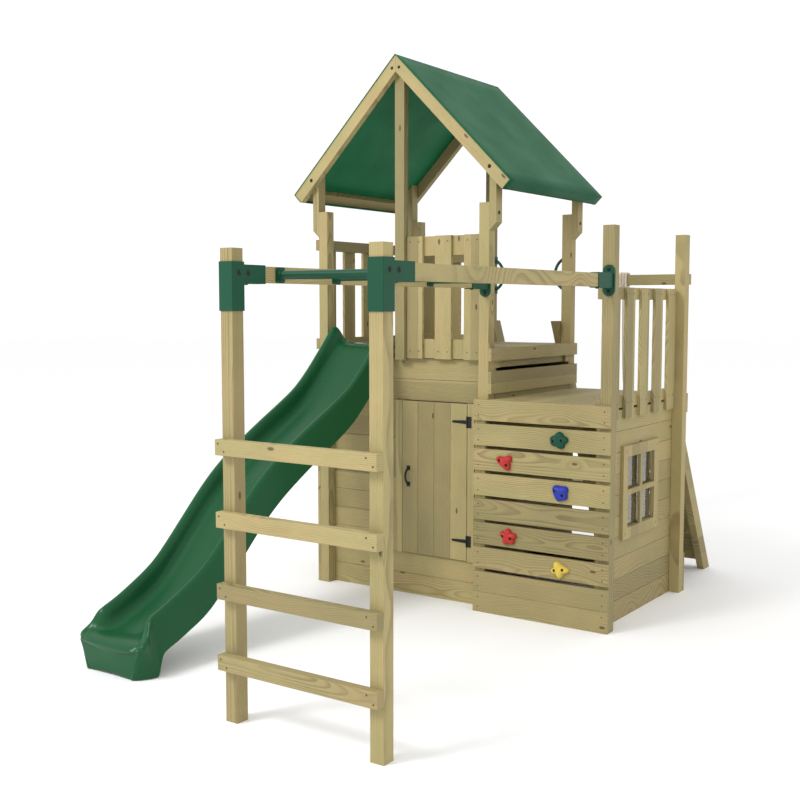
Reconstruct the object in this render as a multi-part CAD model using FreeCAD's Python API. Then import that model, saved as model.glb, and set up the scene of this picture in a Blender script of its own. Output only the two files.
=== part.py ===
"""Timber climbing frame with a rock wall: slide tower, playhouse, monkey bars, climbing ramp.

Units are millimetres, +Z is up, +X is to the right and +Y runs away from the monkey bar ladder.
Everything is laid out from the ladder's right front corner on the ground, and the finished
frame is moved so that its origin is the middle of its own footprint on the ground.
"""
import FreeCAD
import Part
import math
import os

Vec = FreeCAD.Vector

# ---------------------------------------------------------------- driving dimensions: timber
POST = 70.0                      # square post
BEAM_T, BEAM_H = 45.0, 74.0      # monkey bar beam, thickness and height
RUNG_T, RUNG_H = 47.0, 70.0      # ladder rung
BOARD_T = 20.0                   # wall boards, pickets, door planks
RAIL_T = 25.0                    # railing rails
RAIL_H = 70.0
DECK_T = 22.0
JOIST_T, JOIST_H = 45.0, 100.0
PICKET_W, PICKET_H, PICKET_PITCH = 118.0, 760.0, 214.0
BOARD_PITCH = 125.0              # cladding board, one row to the next
SEAM = 1.5                       # gap between two boards that butt together
EASE_POST, EASE_BOARD = 3.0, 1.6  # rounding of the long edges

# ---------------------------------------------------------------- driving dimensions: layout
LADDER_W, LADDER_H = 870.0, 2105.0
RUNG_FIRST, RUNG_PITCH, RUNG_COUNT = 246.0, 320.0, 4
BEAM_Z = 1957.0                  # underside of the monkey bar beams
BAR_R, BAR_WALL = 20.0, 3.0
BAR_FIRST, BAR_PITCH, BAR_COUNT = 340.0, 417.0, 4
TOWER_X = (-2121.0, -826.0)      # outer faces of the tower posts
TOWER_Y = (2235.0, 3404.0)
TOWER_H, TOWER_DECK = 2467.0, 1600.0
ANNEX_RIGHT = -12.0              # outer face of the annex posts
ANNEX_Y = (2204.0, 3368.0)
ANNEX_H, ANNEX_DECK = 2300.0, 1295.0
RIDGE_Z = 3394.0                 # top of the rafters at the ridge; the pitch is 45 degrees
RAFTER_RUN = 811.0               # ridge to eave, measured level
RAFTER_D, RAFTER_T = 73.0, 45.0
KING_W, KING_T = 70.0, 45.0

# moulded brackets of the monkey bars
PLASTIC = 5.0                    # wall thickness
SLEEVE_Z = (1833.0, 2047.0)      # sleeve round the ladder post
ARM_END = 239.0                  # far end of the bracket's arm round the beam
CUP_LEN = 184.0                  # cup that takes the beam's far end
SOCKET_PLATE_T, SOCKET_PLATE_HALF, SOCKET_PLATE_REACH = 12.0, 36.0, 51.0
FLANGE_T, FLANGE_HALF_Y, FLANGE_HALF_Z = 7.0, 29.0, 36.0
COLLAR_WALL, COLLAR_LEN = 5.0, 22.0

CENTRE_X = (TOWER_X[0] + TOWER_X[1]) / 2
KING_X = (CENTRE_X - KING_W / 2, CENTRE_X + KING_W / 2)
INNER_X = (TOWER_X[0] + POST, TOWER_X[1] - POST)
INNER_Y = (TOWER_Y[0] + POST, TOWER_Y[1] - POST)
BEAM_INSET = 16.0                # the right beam's outer face, inside the ladder's edge
BEAM_X = {"left": (-LADDER_W, -LADDER_W + BEAM_T), "right": (-BEAM_INSET - BEAM_T, -BEAM_INSET)}
LADDER_X = {"left": (-LADDER_W, -LADDER_W + POST), "right": (-POST, 0.0)}
WALL_Y = (ANNEX_Y[0] - BOARD_T, ANNEX_Y[0])          # the climbing wall boards
WALL_X = (TOWER_X[1] - POST, ANNEX_RIGHT)
ANNEX_POST_X = (ANNEX_RIGHT - POST, ANNEX_RIGHT)
SIDE_X = (ANNEX_POST_X[0] - BOARD_T, ANNEX_POST_X[0])  # annex side boards, inside the posts

# rows of the climbing wall, (bottom, top); the upper ones are spaced to leave finger gaps
WALL_ROWS = ((0, 125), (126, 251), (271, 400), (420, 552), (570, 697),
             (717, 850), (870, 1000), (1020, 1150), (1170, 1295))

PLAYHOUSE_SIDE_Z = (266.0, 1391.0)   # right side boards, let in flush between the posts

# door in the tower front
DOOR_X, DOOR_Z = (-1487.0, -1004.0), (272.0, 1252.0)
DOOR_Y = (INNER_Y[0] - BOARD_T, INNER_Y[0] - 0.5)
DOOR_PLANKS = 4
HINGE_X, HINGE_Y = -1002.5, 2281.0                   # axis of the door hinges
HINGE_Z = (396.0, 1140.0)
HINGE_PIN_R, HINGE_FIT, BARREL_R, LEAF_T = 2.0, 0.06, 4.0, 3.0
HINGE_H, STRAP_LEN = 70.0, 108.0

# slide
SLIDE_X, SLIDE_HALF, SLIDE_SKIN, RIM_W = -1785.0, 250.0, 10.0, 46.0
SLIDE_CREST = ((2232, 1722), (2070, 1560), (1783, 1312), (1378, 1099), (1165, 975), (980, 832),
               (745, 601), (600, 470), (440, 383), (262, 300))
BED_BELOW_CREST, SKIRT_BELOW_CREST, RIM_T = 118.0, 208.0, 12.0
# side views of the landing foot, as (y, z): its outside, its hollow, the trough and the trough's floor
FOOT_OUTSIDE = ((116, 0), (96, 158), (190, 214), (262, 292), (310, 292), (310, 0))
FOOT_HOLLOW = ((126, 10), (107, 152), (196, 202), (268, 176), (300, 176), (300, 10))
FOOT_TROUGH = ((150, 330), (196, 196), (262, 182), (320, 192), (320, 330))
FOOT_FLOOR = ((150, 186), (196, 186), (262, 172), (310, 182), (310, 192), (262, 182), (196, 196),
              (150, 196))
DECK_LIP = ((2215, 1604), (2335, TOWER_DECK + 1), (2335, TOWER_DECK + 11), (2215, 1614))
LIP_INSET = 5.0

# rope: centre of each turn round the rail, and the hanging end's own route
ROPE_R = 9.0
RAIL_ROPE_Y, RAIL_ROPE_Z = (3368.0, 3403.0), (1988.0, 2056.0)
ROPE_TURNS = (-442.0, -460.3)
ROPE_EXIT = (-478.6, 3412.4, 2010.0)
ROPE_ROUTE = (ROPE_EXIT, (-478.6, 3412.4, 1900.0), (-478.2, 3417.0, 1710.0), (-477.0, 3426.0, 1500.0),
              (-475.5, 3440.0, 1320.0), (-472.5, 3495.0, 1187.0), (-468.0, 3593.0, 1010.0),
              (-465.0, 3692.0, 830.0), (-464.0, 3791.0, 650.0), (-465.0, 3865.0, 520.0),
              (-467.0, 3924.0, 430.0))
KNOT_R = 22.0

RAMP_TOP_Y, RAMP_TOP_Z, RAMP_ANGLE = 3425.0, 1290.0, 61.2
RAMP_BOARDS = (4.0, 1404.0)      # the boarding's ends, measured down the slope from the top
RAMP_X, RAMP_STRINGER = (-873.0, -103.0), (47.0, 95.0)
BACK_LADDER_STRINGER, BACK_LADDER_TOP, BACK_LADDER_ANGLE = (45.0, 95.0), 1750.0, 65.0
TREAD_FIRST, TREAD_PITCH, TREAD_COUNT, TREAD_T, TREAD_W = 285.0, 262.0, 5, 28.0, 88.0
HANDLE_Z, HANDLE_BOW, HANDLE_R = (1966.0, 2172.0), 66.0, 10.0


# ---------------------------------------------------------------- small helpers
def box(x, y, z):
    """A plain block from three (low, high) pairs."""
    return Part.makeBox(x[1] - x[0], y[1] - y[0], z[1] - z[0], Vec(x[0], y[0], z[0]))


def timber(x, y, z, ease=EASE_BOARD):
    """A planed timber: a block whose long edges are rounded."""
    solid = box(x, y, z)
    sizes = (x[1] - x[0], y[1] - y[0], z[1] - z[0])
    along = sizes.index(max(sizes))
    length = sizes[along]
    edges = [e for e in solid.Edges if abs(abs(e.tangentAt(e.FirstParameter)[along]) - 1) < 1e-6
             and abs(e.Length - length) < 1e-6]
    return solid.makeFillet(ease, edges)


def prism(points, axis, low, high):
    """A closed outline extruded along X or Y. Points are (y, z) for X and (x, z) for Y."""
    if axis == "X":
        corners = [Vec(low, a, b) for a, b in points]
        push = Vec(high - low, 0, 0)
    else:
        corners = [Vec(a, low, b) for a, b in points]
        push = Vec(0, high - low, 0)
    return Part.Face(Part.makePolygon(corners + corners[:1])).extrude(push)


def rod(start, direction, radius, length):
    return Part.makeCylinder(radius, length, Vec(*start), Vec(*direction))


def group(solids):
    return Part.makeCompound(list(solids))


def rows(low, high, pitch=BOARD_PITCH, seam=SEAM):
    """Split a height into board rows of about one pitch, as (bottom, top) pairs."""
    count = max(1, round((high - low) / pitch))
    step = (high - low) / count
    return [(low + i * step, low + (i + 1) * step - seam) for i in range(count)]


def dome(centre, direction, radius):
    """A domed bolt cap sitting on a face."""
    ball = Part.makeSphere(radius * 1.25, Vec(*centre) - Vec(*direction) * radius * 0.75)
    return ball.common(rod(centre, direction, radius * 1.5, radius))


def roof_drop(x):
    """Height of the rafters' top line above the ground at one x."""
    return RIDGE_Z - abs(x - CENTRE_X)


# ---------------------------------------------------------------- monkey bars and ladder
def ladder():
    posts = group(timber(x, (0, POST), (0, LADDER_H), EASE_POST) for x in LADDER_X.values())
    heights = [RUNG_FIRST + i * RUNG_PITCH for i in range(RUNG_COUNT)]
    rungs = group(timber((-LADDER_W, 0), (-RUNG_T, 0), (z, z + RUNG_H), EASE_POST) for z in heights)
    return {"ladder_posts": posts, "ladder_rungs": rungs}


def ladder_bracket(side):
    """Moulded sleeve that joins a ladder post to its beam."""
    px, bx = LADDER_X[side], BEAM_X[side]
    w = PLASTIC
    sleeve = box((px[0] - w, px[1] + w), (-w, POST + w), SLEEVE_Z)
    arm = box((bx[0] - w, bx[1] + w), (POST, ARM_END), (BEAM_Z - w, BEAM_Z + BEAM_H + w))
    body = sleeve.fuse(arm).removeSplitter()
    upright = [e for e in body.Edges if len(e.Vertexes) == 2
               and abs(abs(e.tangentAt(e.FirstParameter).z) - 1) < 1e-6 and e.Length > 200]
    body = body.makeFillet(w - 1, upright)
    body = body.cut(box(px, (0, POST), (SLEEVE_Z[0] - w, SLEEVE_Z[1] + w)))
    return body.cut(box(bx, (POST + w, ARM_END + w), (BEAM_Z, BEAM_Z + BEAM_H)))


def socket_plate_y(side):
    face = ANNEX_Y[0] if side == "right" else TOWER_Y[0]
    return (face - SOCKET_PLATE_T, face)


def beam_socket(side):
    """Moulded cup with a lobed back plate that carries the beam's far end."""
    bx, py = BEAM_X[side], socket_plate_y(side)
    w = PLASTIC
    mid_x, mid_z = (bx[0] + bx[1]) / 2, BEAM_Z + BEAM_H / 2
    half, reach = SOCKET_PLATE_HALF, SOCKET_PLATE_REACH
    plate = box((mid_x - half, mid_x + half), py, (mid_z - reach, mid_z + reach))
    for z in (mid_z - reach, mid_z + reach):
        plate = plate.fuse(rod((mid_x, py[0], z), (0, 1, 0), half, SOCKET_PLATE_T))
    cup = box((bx[0] - w, bx[1] + w), (py[0] - CUP_LEN, py[0]), (BEAM_Z - w, BEAM_Z + BEAM_H + w))
    beam_room = box(bx, (py[0] - CUP_LEN - w, py[0] - 3), (BEAM_Z, BEAM_Z + BEAM_H))
    return cup.fuse(plate).removeSplitter().cut(beam_room)


def monkey_bars():
    z_beam = (BEAM_Z, BEAM_Z + BEAM_H)
    parts = {
        "monkey_beams": group(timber(bx, (POST + PLASTIC, socket_plate_y(side)[0] - 3), z_beam,
                                     EASE_POST) for side, bx in BEAM_X.items()),
        "ladder_brackets": group(ladder_bracket(side) for side in BEAM_X),
        "beam_sockets": group(beam_socket(side) for side in BEAM_X),
    }
    x0, x1 = BEAM_X["left"][1], BEAM_X["right"][0]
    z = BEAM_Z + BEAM_H / 2
    bars, flanges = [], []
    for i in range(BAR_COUNT):
        y = BAR_FIRST + i * BAR_PITCH
        tube = rod((x0, y, z), (1, 0, 0), BAR_R, x1 - x0)
        bars.append(tube.cut(rod((x0, y, z), (1, 0, 0), BAR_R - BAR_WALL, x1 - x0)))
        for face, way in ((x0, 1), (x1, -1)):
            low = min(face, face + way * FLANGE_T)
            plate = box((low, low + FLANGE_T), (y - FLANGE_HALF_Y, y + FLANGE_HALF_Y),
                        (z - FLANGE_HALF_Z, z + FLANGE_HALF_Z))
            corners = [e for e in plate.Edges if abs(e.Length - FLANGE_T) < 1e-6]
            collar = rod((face, y, z), (way, 0, 0), BAR_R + COLLAR_WALL, COLLAR_LEN)
            bored = plate.makeFillet(8, corners).fuse(collar).cut(
                rod((face, y, z), (way, 0, 0), BAR_R, COLLAR_LEN + 8))
            flanges.append(bored)
    parts["monkey_bars"] = group(bars)
    parts["bar_flanges"] = group(flanges)
    return parts


# ---------------------------------------------------------------- tower frame and roof
def tower_posts():
    return {"tower_posts": group(timber((x0, x0 + POST), (y0, y0 + POST), (0, TOWER_H), EASE_POST)
                                 for y0 in (TOWER_Y[0], TOWER_Y[1] - POST)
                                 for x0 in (TOWER_X[0], TOWER_X[1] - POST))}


def roof_upright(side, y0):
    """Short upright bolted outside a post, cut to the roof pitch on top and chamfered below."""
    face = TOWER_X[0] if side < 0 else TOWER_X[1]
    outer = face + side * 47.0
    low = 2300.0
    outline = [(face, low), (outer, low + 47.0), (outer, roof_drop(outer) - 6),
               (face, roof_drop(face) - 6)]
    return prism(outline, "Y", y0, y0 + POST)


def king_post(y):
    top = RIDGE_Z - 6
    half = KING_W / 2
    outline = [(KING_X[0], 1515), (KING_X[1], 1515), (KING_X[1], top - half), (CENTRE_X, top),
               (KING_X[0], top - half)]
    return prism(outline, "Y", y[0], y[1])


def rafter(side, y):
    """One rafter, square cut at the eave and plumb cut at the ridge."""
    s = math.sqrt(0.5)
    eave = (CENTRE_X + side * RAFTER_RUN, RIDGE_Z - RAFTER_RUN)
    low = (eave[0] - side * RAFTER_D * s, eave[1] - RAFTER_D * s)
    gap = side * 0.5
    under = RIDGE_Z - RAFTER_D / s
    outline = [(CENTRE_X + gap, RIDGE_Z - 0.5), eave, low, (CENTRE_X + gap, under - 0.5)]
    return prism(outline, "Y", y[0], y[1])


def purlin(side):
    """Timber that runs the length of the eave, flat against the cover."""
    s = math.sqrt(0.5)
    y = (TOWER_Y[0], TOWER_Y[1])
    down, out, inner = 1147.0, 4.0, 49.0

    def at(along, depth):
        return (CENTRE_X + side * (along - depth) * s, RIDGE_Z - (along + depth) * s)
    return prism([at(down - 70, out), at(down, out), at(down, inner), at(down - 70, inner)],
                 "Y", y[0], y[1])


def ridge_beam():
    half, top = 22.5, RIDGE_Z - 8
    outline = [(CENTRE_X - half, top - half), (CENTRE_X, top), (CENTRE_X + half, top - half),
               (CENTRE_X + half, top - 120), (CENTRE_X - half, top - 120)]
    return prism(outline, "Y", TOWER_Y[0] + KING_T, TOWER_Y[1] - KING_T)


def roof_cover():
    """Stretched sheet over both slopes with a hem turned down over each eave."""
    s = math.sqrt(0.5)
    lift, thick = 0.8, 2.4
    flap = 71.0

    def line(off):
        top = (CENTRE_X, RIDGE_Z + off / s)
        right = (CENTRE_X + RAFTER_RUN + off / s, RIDGE_Z - RAFTER_RUN)
        hem = (right[0] - flap * s, right[1] - flap * s)
        left = (2 * CENTRE_X - right[0], right[1])
        hem_l = (2 * CENTRE_X - hem[0], hem[1])
        return [hem_l, left, top, right, hem]
    outline = line(lift + thick) + line(lift)[::-1]
    return prism(outline, "Y", TOWER_Y[0] - RAFTER_T - 8, TOWER_Y[1] + RAFTER_T + 8)


def roof():
    front = (TOWER_Y[0] - RAFTER_T, TOWER_Y[0])
    back = (TOWER_Y[1], TOWER_Y[1] + RAFTER_T)
    return {
        "roof_uprights": group(roof_upright(side, y0) for side in (-1, 1)
                               for y0 in (TOWER_Y[0], TOWER_Y[1] - POST)),
        "king_posts": group([king_post((TOWER_Y[0], TOWER_Y[0] + KING_T)),
                             king_post((TOWER_Y[1] - KING_T, TOWER_Y[1]))]),
        "rafters": group(rafter(side, y) for y in (front, back) for side in (-1, 1)),
        "roof_purlins": group([purlin(-1), purlin(1), ridge_beam()]),
        "roof_cover": roof_cover(),
    }


# ---------------------------------------------------------------- decks and railings
def decks():
    tower = [timber((TOWER_X[0], TOWER_X[1]), y, (TOWER_DECK - DECK_T, TOWER_DECK))
             for y in rows(INNER_Y[0], INNER_Y[1], 114)]
    x_deck = (TOWER_X[1] + BOARD_T, SIDE_X[0] - 6)
    annex = [timber(x, ANNEX_Y, (ANNEX_DECK - DECK_T, ANNEX_DECK))
             for x in rows(x_deck[0], x_deck[1], 116)]
    joists = []
    z = (TOWER_DECK - DECK_T - JOIST_H, TOWER_DECK - DECK_T)
    y_in = (INNER_Y[0] + BOARD_T, INNER_Y[1] - BOARD_T)
    for y0 in (y_in[0], y_in[1] - JOIST_T):
        joists.append(timber((TOWER_X[0], TOWER_X[1]), (y0, y0 + JOIST_T), z))
    for x0 in (TOWER_X[0] + 20, CENTRE_X - 240, CENTRE_X + 200, TOWER_X[1] - 65):
        joists.append(timber((x0, x0 + JOIST_T), (y_in[0] + JOIST_T, y_in[1] - JOIST_T), z))
    z = (ANNEX_DECK - DECK_T - JOIST_H, ANNEX_DECK - DECK_T)
    for y0 in (ANNEX_Y[0], ANNEX_Y[0] + 373, ANNEX_Y[0] + 746, ANNEX_Y[1] - JOIST_T):
        joists.append(timber(x_deck, (y0, y0 + JOIST_T), z))
    return {"tower_deck_boards": group(tower), "annex_deck_boards": group(annex),
            "deck_joists": group(joists)}


def pickets_along(low, high, count, width=PICKET_W):
    """Places for pickets centred in a span, as (low, high) pairs."""
    step = min(PICKET_PITCH, (high - low - width - 4) / (count - 1))
    first = (low + high - width - step * (count - 1)) / 2
    return [(first + i * step, first + i * step + width) for i in range(count)]


def railings():
    z_pick = (TOWER_DECK - 76, TOWER_DECK - 76 + PICKET_H)
    front, back, left = [], [], []
    for z in ((TOWER_DECK - 73, TOWER_DECK + 47), (TOWER_DECK + 563, TOWER_DECK + 683)):
        front.append(timber((KING_X[0], INNER_X[1]), (TOWER_Y[0] + KING_T, INNER_Y[0]), z))
        back.append(timber((INNER_X[0], KING_X[1]), (INNER_Y[1], TOWER_Y[1] - KING_T), z))
    for x in pickets_along(KING_X[1], INNER_X[1], 3):
        front.append(timber(x, (TOWER_Y[0] + KING_T - BOARD_T, TOWER_Y[0] + KING_T), z_pick))
    for x in pickets_along(INNER_X[0], KING_X[0], 3):
        back.append(timber(x, (TOWER_Y[1] - KING_T, TOWER_Y[1] - KING_T + BOARD_T), z_pick))
    x_rail = (TOWER_X[0] - RAIL_T, TOWER_X[0])
    for z0 in (TOWER_DECK - 33, TOWER_DECK + 617):
        left.append(timber(x_rail, TOWER_Y, (z0, z0 + RAIL_H)))
    for y in pickets_along(INNER_Y[0], INNER_Y[1], 5):
        left.append(timber((x_rail[0] - BOARD_T, x_rail[0]), y, z_pick))
    annex = []
    x_rail = (ANNEX_POST_X[0] - RAIL_T, ANNEX_POST_X[0])
    for z0 in (ANNEX_DECK - 33, ANNEX_DECK + 595):
        annex.append(timber(x_rail, ANNEX_Y, (z0, z0 + RAIL_H)))
    for y in pickets_along(ANNEX_Y[0] + POST, ANNEX_Y[1] - POST, 5):
        annex.append(timber((ANNEX_POST_X[0], ANNEX_POST_X[0] + BOARD_T), y,
                            (ANNEX_DECK - 95, ANNEX_DECK - 95 + PICKET_H)))
    return {"front_railing": group(front), "back_railing": group(back),
            "left_railing": group(left), "annex_railing": group(annex)}


# ---------------------------------------------------------------- playhouse walls
def cladding():
    y = (INNER_Y[0], INNER_Y[0] + BOARD_T)
    front = []
    for z in rows(0, 266) + rows(1256, 1525, 135):
        front.append(timber(TOWER_X, y, z))
    for z in rows(266, 1256, 124):
        front.append(timber((TOWER_X[0], DOOR_X[0] + 12), y, z))
        front.append(timber((DOOR_X[1] - 12, TOWER_X[1]), y, z))
    left = [timber((TOWER_X[0] - BOARD_T, TOWER_X[0]), TOWER_Y, z) for z in rows(0, 1522, 127)]
    y = (INNER_Y[1] - BOARD_T, INNER_Y[1])
    back = [timber(TOWER_X, y, z) for z in rows(0, 1525, 127)]
    x = (TOWER_X[1], TOWER_X[1] + BOARD_T)
    right = [timber(x, TOWER_Y, z) for z in ((1325, 1460), (1522, TOWER_DECK))]
    x = (TOWER_X[1] - BOARD_T, TOWER_X[1])
    y = (INNER_Y[0] + BOARD_T + 0.5, INNER_Y[1] - BOARD_T - 0.5)
    right += [timber(x, y, z) for z in rows(*PLAYHOUSE_SIDE_Z)]
    return {"front_boards": group(front), "left_boards": group(left), "back_boards": group(back),
            "right_boards": group(right)}


def barrel(z, radius=BARREL_R):
    return rod((HINGE_X, HINGE_Y, z[0]), (0, 0, 1), radius, z[1] - z[0])


def hinge_bands(centre):
    """Heights of the three barrels of one hinge: two on the plate, one on the strap."""
    low, high = centre - HINGE_H / 2, centre + HINGE_H / 2
    return (low, centre - 14.3), (centre - 14, centre + 14), (centre + 14.3, high)


def hinge_plate(centre):
    """Frame leaf of a T hinge, with its pin."""
    low, mid, high = hinge_bands(centre)
    face = DOOR_Y[0]
    leaf = box((HINGE_X + 2.0, HINGE_X + 31), (face - LEAF_T, face), (low[0], high[1]))
    leaf = leaf.cut(barrel((mid[0] - 0.3, mid[1] + 0.3), BARREL_R + 0.6))
    pin = barrel((low[0] - 2, high[1] + 2), HINGE_PIN_R)
    return leaf.fuse([barrel(low), barrel(high), pin]).removeSplitter()


def hinge_strap(centre):
    """Tapered door leaf of a T hinge, turning on the plate's pin."""
    mid = hinge_bands(centre)[1]
    face = DOOR_Y[0]
    x0 = HINGE_X - 2.0
    outline = [(x0, mid[0] + 2), (x0, mid[1] - 2), (x0 - STRAP_LEN + 8, centre + 7),
               (x0 - STRAP_LEN, centre), (x0 - STRAP_LEN + 8, centre - 7)]
    leaf = prism(outline, "Y", face - LEAF_T, face)
    return leaf.fuse(barrel(mid)).removeSplitter().cut(
        barrel((mid[0] - 1, mid[1] + 1), HINGE_PIN_R + HINGE_FIT))


def bow(foot_a, foot_b, crown, radius):
    """Round bar bent to an arc through three points."""
    arc = Part.Arc(Vec(*foot_a), Vec(*crown), Vec(*foot_b)).toShape()
    ring = Part.Wire(Part.makeCircle(radius, Vec(*foot_a), arc.tangentAt(arc.FirstParameter)))
    return Part.Wire(arc).makePipeShell([ring], True, False)


def pull_handle():
    x, z = -1439.0, (716.0, 822.0)
    face = DOOR_Y[0]
    bar = bow((x, face - 2, z[0]), (x, face - 2, z[1]), (x, face - 36, sum(z) / 2), 6.5)
    feet = [box((x - 12, x + 12), (face - 4, face), (c - 14, c + 14)) for c in z]
    bar = bar.cut(box((x - 20, x + 20), (face, face + 20), (z[0] - 30, z[1] + 30)))
    return bar.fuse(feet).removeSplitter()


def door():
    width = (DOOR_X[1] - DOOR_X[0] + SEAM) / DOOR_PLANKS
    planks = [timber((DOOR_X[0] + i * width, DOOR_X[0] + (i + 1) * width - SEAM), DOOR_Y, DOOR_Z)
              for i in range(DOOR_PLANKS)]
    x_in = (DOOR_X[0] + 17, DOOR_X[1] - 17)
    ledges = [timber(x_in, (DOOR_Y[1], DOOR_Y[1] + BOARD_T), (z, z + 70)) for z in (370, 1080)]
    slope = [(x_in[1] - 70, 442), (x_in[1], 442), (x_in[0] + 70, 1078), (x_in[0], 1078)]
    ledges.append(prism(slope, "Y", DOOR_Y[1], DOOR_Y[1] + BOARD_T))
    jamb_y = (INNER_Y[0] - BOARD_T, INNER_Y[0])
    jambs = [timber(x, jamb_y, (DOOR_Z[0] - 4, DOOR_Z[1] + 2))
             for x in ((DOOR_X[0] - 53, DOOR_X[0] - 3), (DOOR_X[1] + 3, DOOR_X[1] + 53))]
    return {"door_planks": group(planks), "door_ledges": group(ledges),
            "door_jambs": group(jambs), "door_handle": pull_handle(),
            "hinge_straps": group(hinge_strap(z) for z in HINGE_Z),
            "hinge_plates": group(hinge_plate(z) for z in HINGE_Z)}


# ---------------------------------------------------------------- slide
def smooth_line(points):
    curve = Part.BSplineCurve()
    curve.interpolate([Vec(0, y, z) for y, z in points])
    return curve


def slide_band(x, upper, lower):
    """Solid between two curves of the slide's side view, between two x."""
    a, b = smooth_line(upper).toShape(), smooth_line(lower).toShape()
    ends = [Part.makeLine(a.Vertexes[0].Point, b.Vertexes[0].Point),
            Part.makeLine(a.Vertexes[-1].Point, b.Vertexes[-1].Point)]
    face = Part.Face(Part.Wire(Part.__sortEdges__([a, b] + ends)))
    face.translate(Vec(x[0], 0, 0))
    return face.extrude(Vec(x[1] - x[0], 0, 0))


def shifted(points, drop):
    return [(y, z - drop) for y, z in points]


def slide():
    """Moulded chute: bed, two deep side walls with rims, a landing foot and a lip on the deck."""
    left, right = SLIDE_X - SLIDE_HALF, SLIDE_X + SLIDE_HALF
    crest = list(SLIDE_CREST)
    skirt = shifted(crest, SKIRT_BELOW_CREST)
    bed = shifted(crest, BED_BELOW_CREST)
    pieces = [slide_band((left, left + SLIDE_SKIN), crest, skirt),
              slide_band((right - SLIDE_SKIN, right), crest, skirt),
              slide_band((left, left + RIM_W), crest, shifted(crest, RIM_T)),
              slide_band((right - RIM_W, right), crest, shifted(crest, RIM_T)),
              slide_band((left, right), bed, shifted(bed, SLIDE_SKIN))]
    inner = prism(FOOT_HOLLOW, "X", left + SLIDE_SKIN, right - SLIDE_SKIN)
    trough = prism(FOOT_TROUGH, "X", left + RIM_W, right - RIM_W)
    foot = prism(FOOT_OUTSIDE, "X", left, right).cut(inner).cut(trough)
    inset = (left + LIP_INSET, right - LIP_INSET)
    floor = prism(FOOT_FLOOR, "X", *inset)
    lip = prism(DECK_LIP, "X", *inset)
    body = pieces[0]
    for piece in pieces[1:] + [foot, floor, lip]:
        body = body.fuse(piece)
    return body.removeSplitter()


# ---------------------------------------------------------------- annex and climbing wall
# name: (x, z of the middle, lobe directions in degrees, lobe depth, tilt of the bolt pair in degrees)
HOLDS = {"hold_green": (-322.0, 1085.0, (9, 86, 171, 207, 289), 0.10, 9.0),
         "hold_red_upper": (-678.0, 930.0, (42, 154, 300), 0.12, -30.0),
         "hold_blue": (-311.0, 783.0, (39, 139, 265, 318), 0.06, -23.0),
         "hold_red_lower": (-649.0, 486.0, (17, 92, 154, 247, 311), 0.15, -9.0),
         "hold_yellow": (-308.0, 335.0, (0, 120, 200, 270), 0.14, 9.0)}
HOLD_W, HOLD_H, HOLD_D = 117.0, 102.0, 42.0
HOLD_CORE = 45.1                     # radius of the middle, before the lobe depth comes off
LOBE_R = {3: 26.0, 4: 22.0, 5: 19.0}  # by number of lobes
HOLD_DOME_R = 72.0
HOLD_BOLT_OUT = 26.5                 # from the hold's middle to either bolt
HOLD_BOLT_R, COUNTERBORE_R, SEAT_D = 5.0, 9.5, 14.0


def bolt_places(spec):
    """The two bolts of a hold, as (x, z)."""
    x, z, _, _, tilt = spec
    a = math.radians(tilt)
    return [(x + way * HOLD_BOLT_OUT * math.cos(a), z + way * HOLD_BOLT_OUT * math.sin(a))
            for way in (-1, 1)]


def hold(spec):
    """Moulded hand hold: round lobes about a core, domed by a large sphere, with two bolt holes."""
    x, z, lobes, depth, _ = spec
    front = WALL_Y[0] - HOLD_D
    body = rod((x, front, z), (0, 1, 0), HOLD_CORE * (1 - depth), HOLD_D)
    radius = LOBE_R[len(lobes)]
    for direction in lobes:
        a = math.radians(direction)
        middle = (x + (HOLD_W / 2 - radius) * math.cos(a), front, z + (HOLD_H / 2 - radius) * math.sin(a))
        body = body.fuse(rod(middle, (0, 1, 0), radius, HOLD_D))
    body = body.removeSplitter().common(
        Part.makeSphere(HOLD_DOME_R, Vec(x, front + HOLD_DOME_R, z)))
    for bx, bz in bolt_places(spec):
        body = body.cut(rod((bx, front - 5, bz), (0, 1, 0), HOLD_BOLT_R + 0.3, HOLD_D + 10))
        body = body.cut(rod((bx, front - 5, bz), (0, 1, 0), COUNTERBORE_R, HOLD_D + 5 - SEAT_D))
    return body


def hold_bolts():
    """Socket bolt and T-nut at each hole of each hold."""
    pieces = []
    seat = WALL_Y[0] - SEAT_D
    for spec in HOLDS.values():
        for x, z in bolt_places(spec):
            head = rod((x, seat - 8, z), (0, 1, 0), 8.0, 8.0)
            head = head.cut(rod((x, seat - 9, z), (0, 1, 0), 3.4, 5.5))
            shank = rod((x, seat, z), (0, 1, 0), 4.8, SEAT_D + BOARD_T + 8)
            pieces.append(head.fuse(shank))
            nut = rod((x, WALL_Y[1], z), (0, 1, 0), 12.0, 2.2)
            pieces.append(nut.cut(rod((x, WALL_Y[1] - 1, z), (0, 1, 0), 4.85, 5)))
    return group(pieces)


def climbing_wall():
    parts = {}
    for number, row in enumerate(WALL_ROWS, 1):
        board = timber(WALL_X, WALL_Y, row)
        for spec in HOLDS.values():
            for x, z in bolt_places(spec):
                if row[0] < z < row[1]:
                    board = board.cut(rod((x, WALL_Y[0] - 5, z), (0, 1, 0), HOLD_BOLT_R, 30))
        parts["climbing_board_%d" % number] = board
    for name, spec in HOLDS.items():
        parts[name] = hold(spec)
    parts["hold_bolts"] = hold_bolts()
    return parts


WINDOW_Y, WINDOW_Z, WINDOW_BORDER = (2568.0, 2971.0), (544.0, 966.0), 68.0


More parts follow.
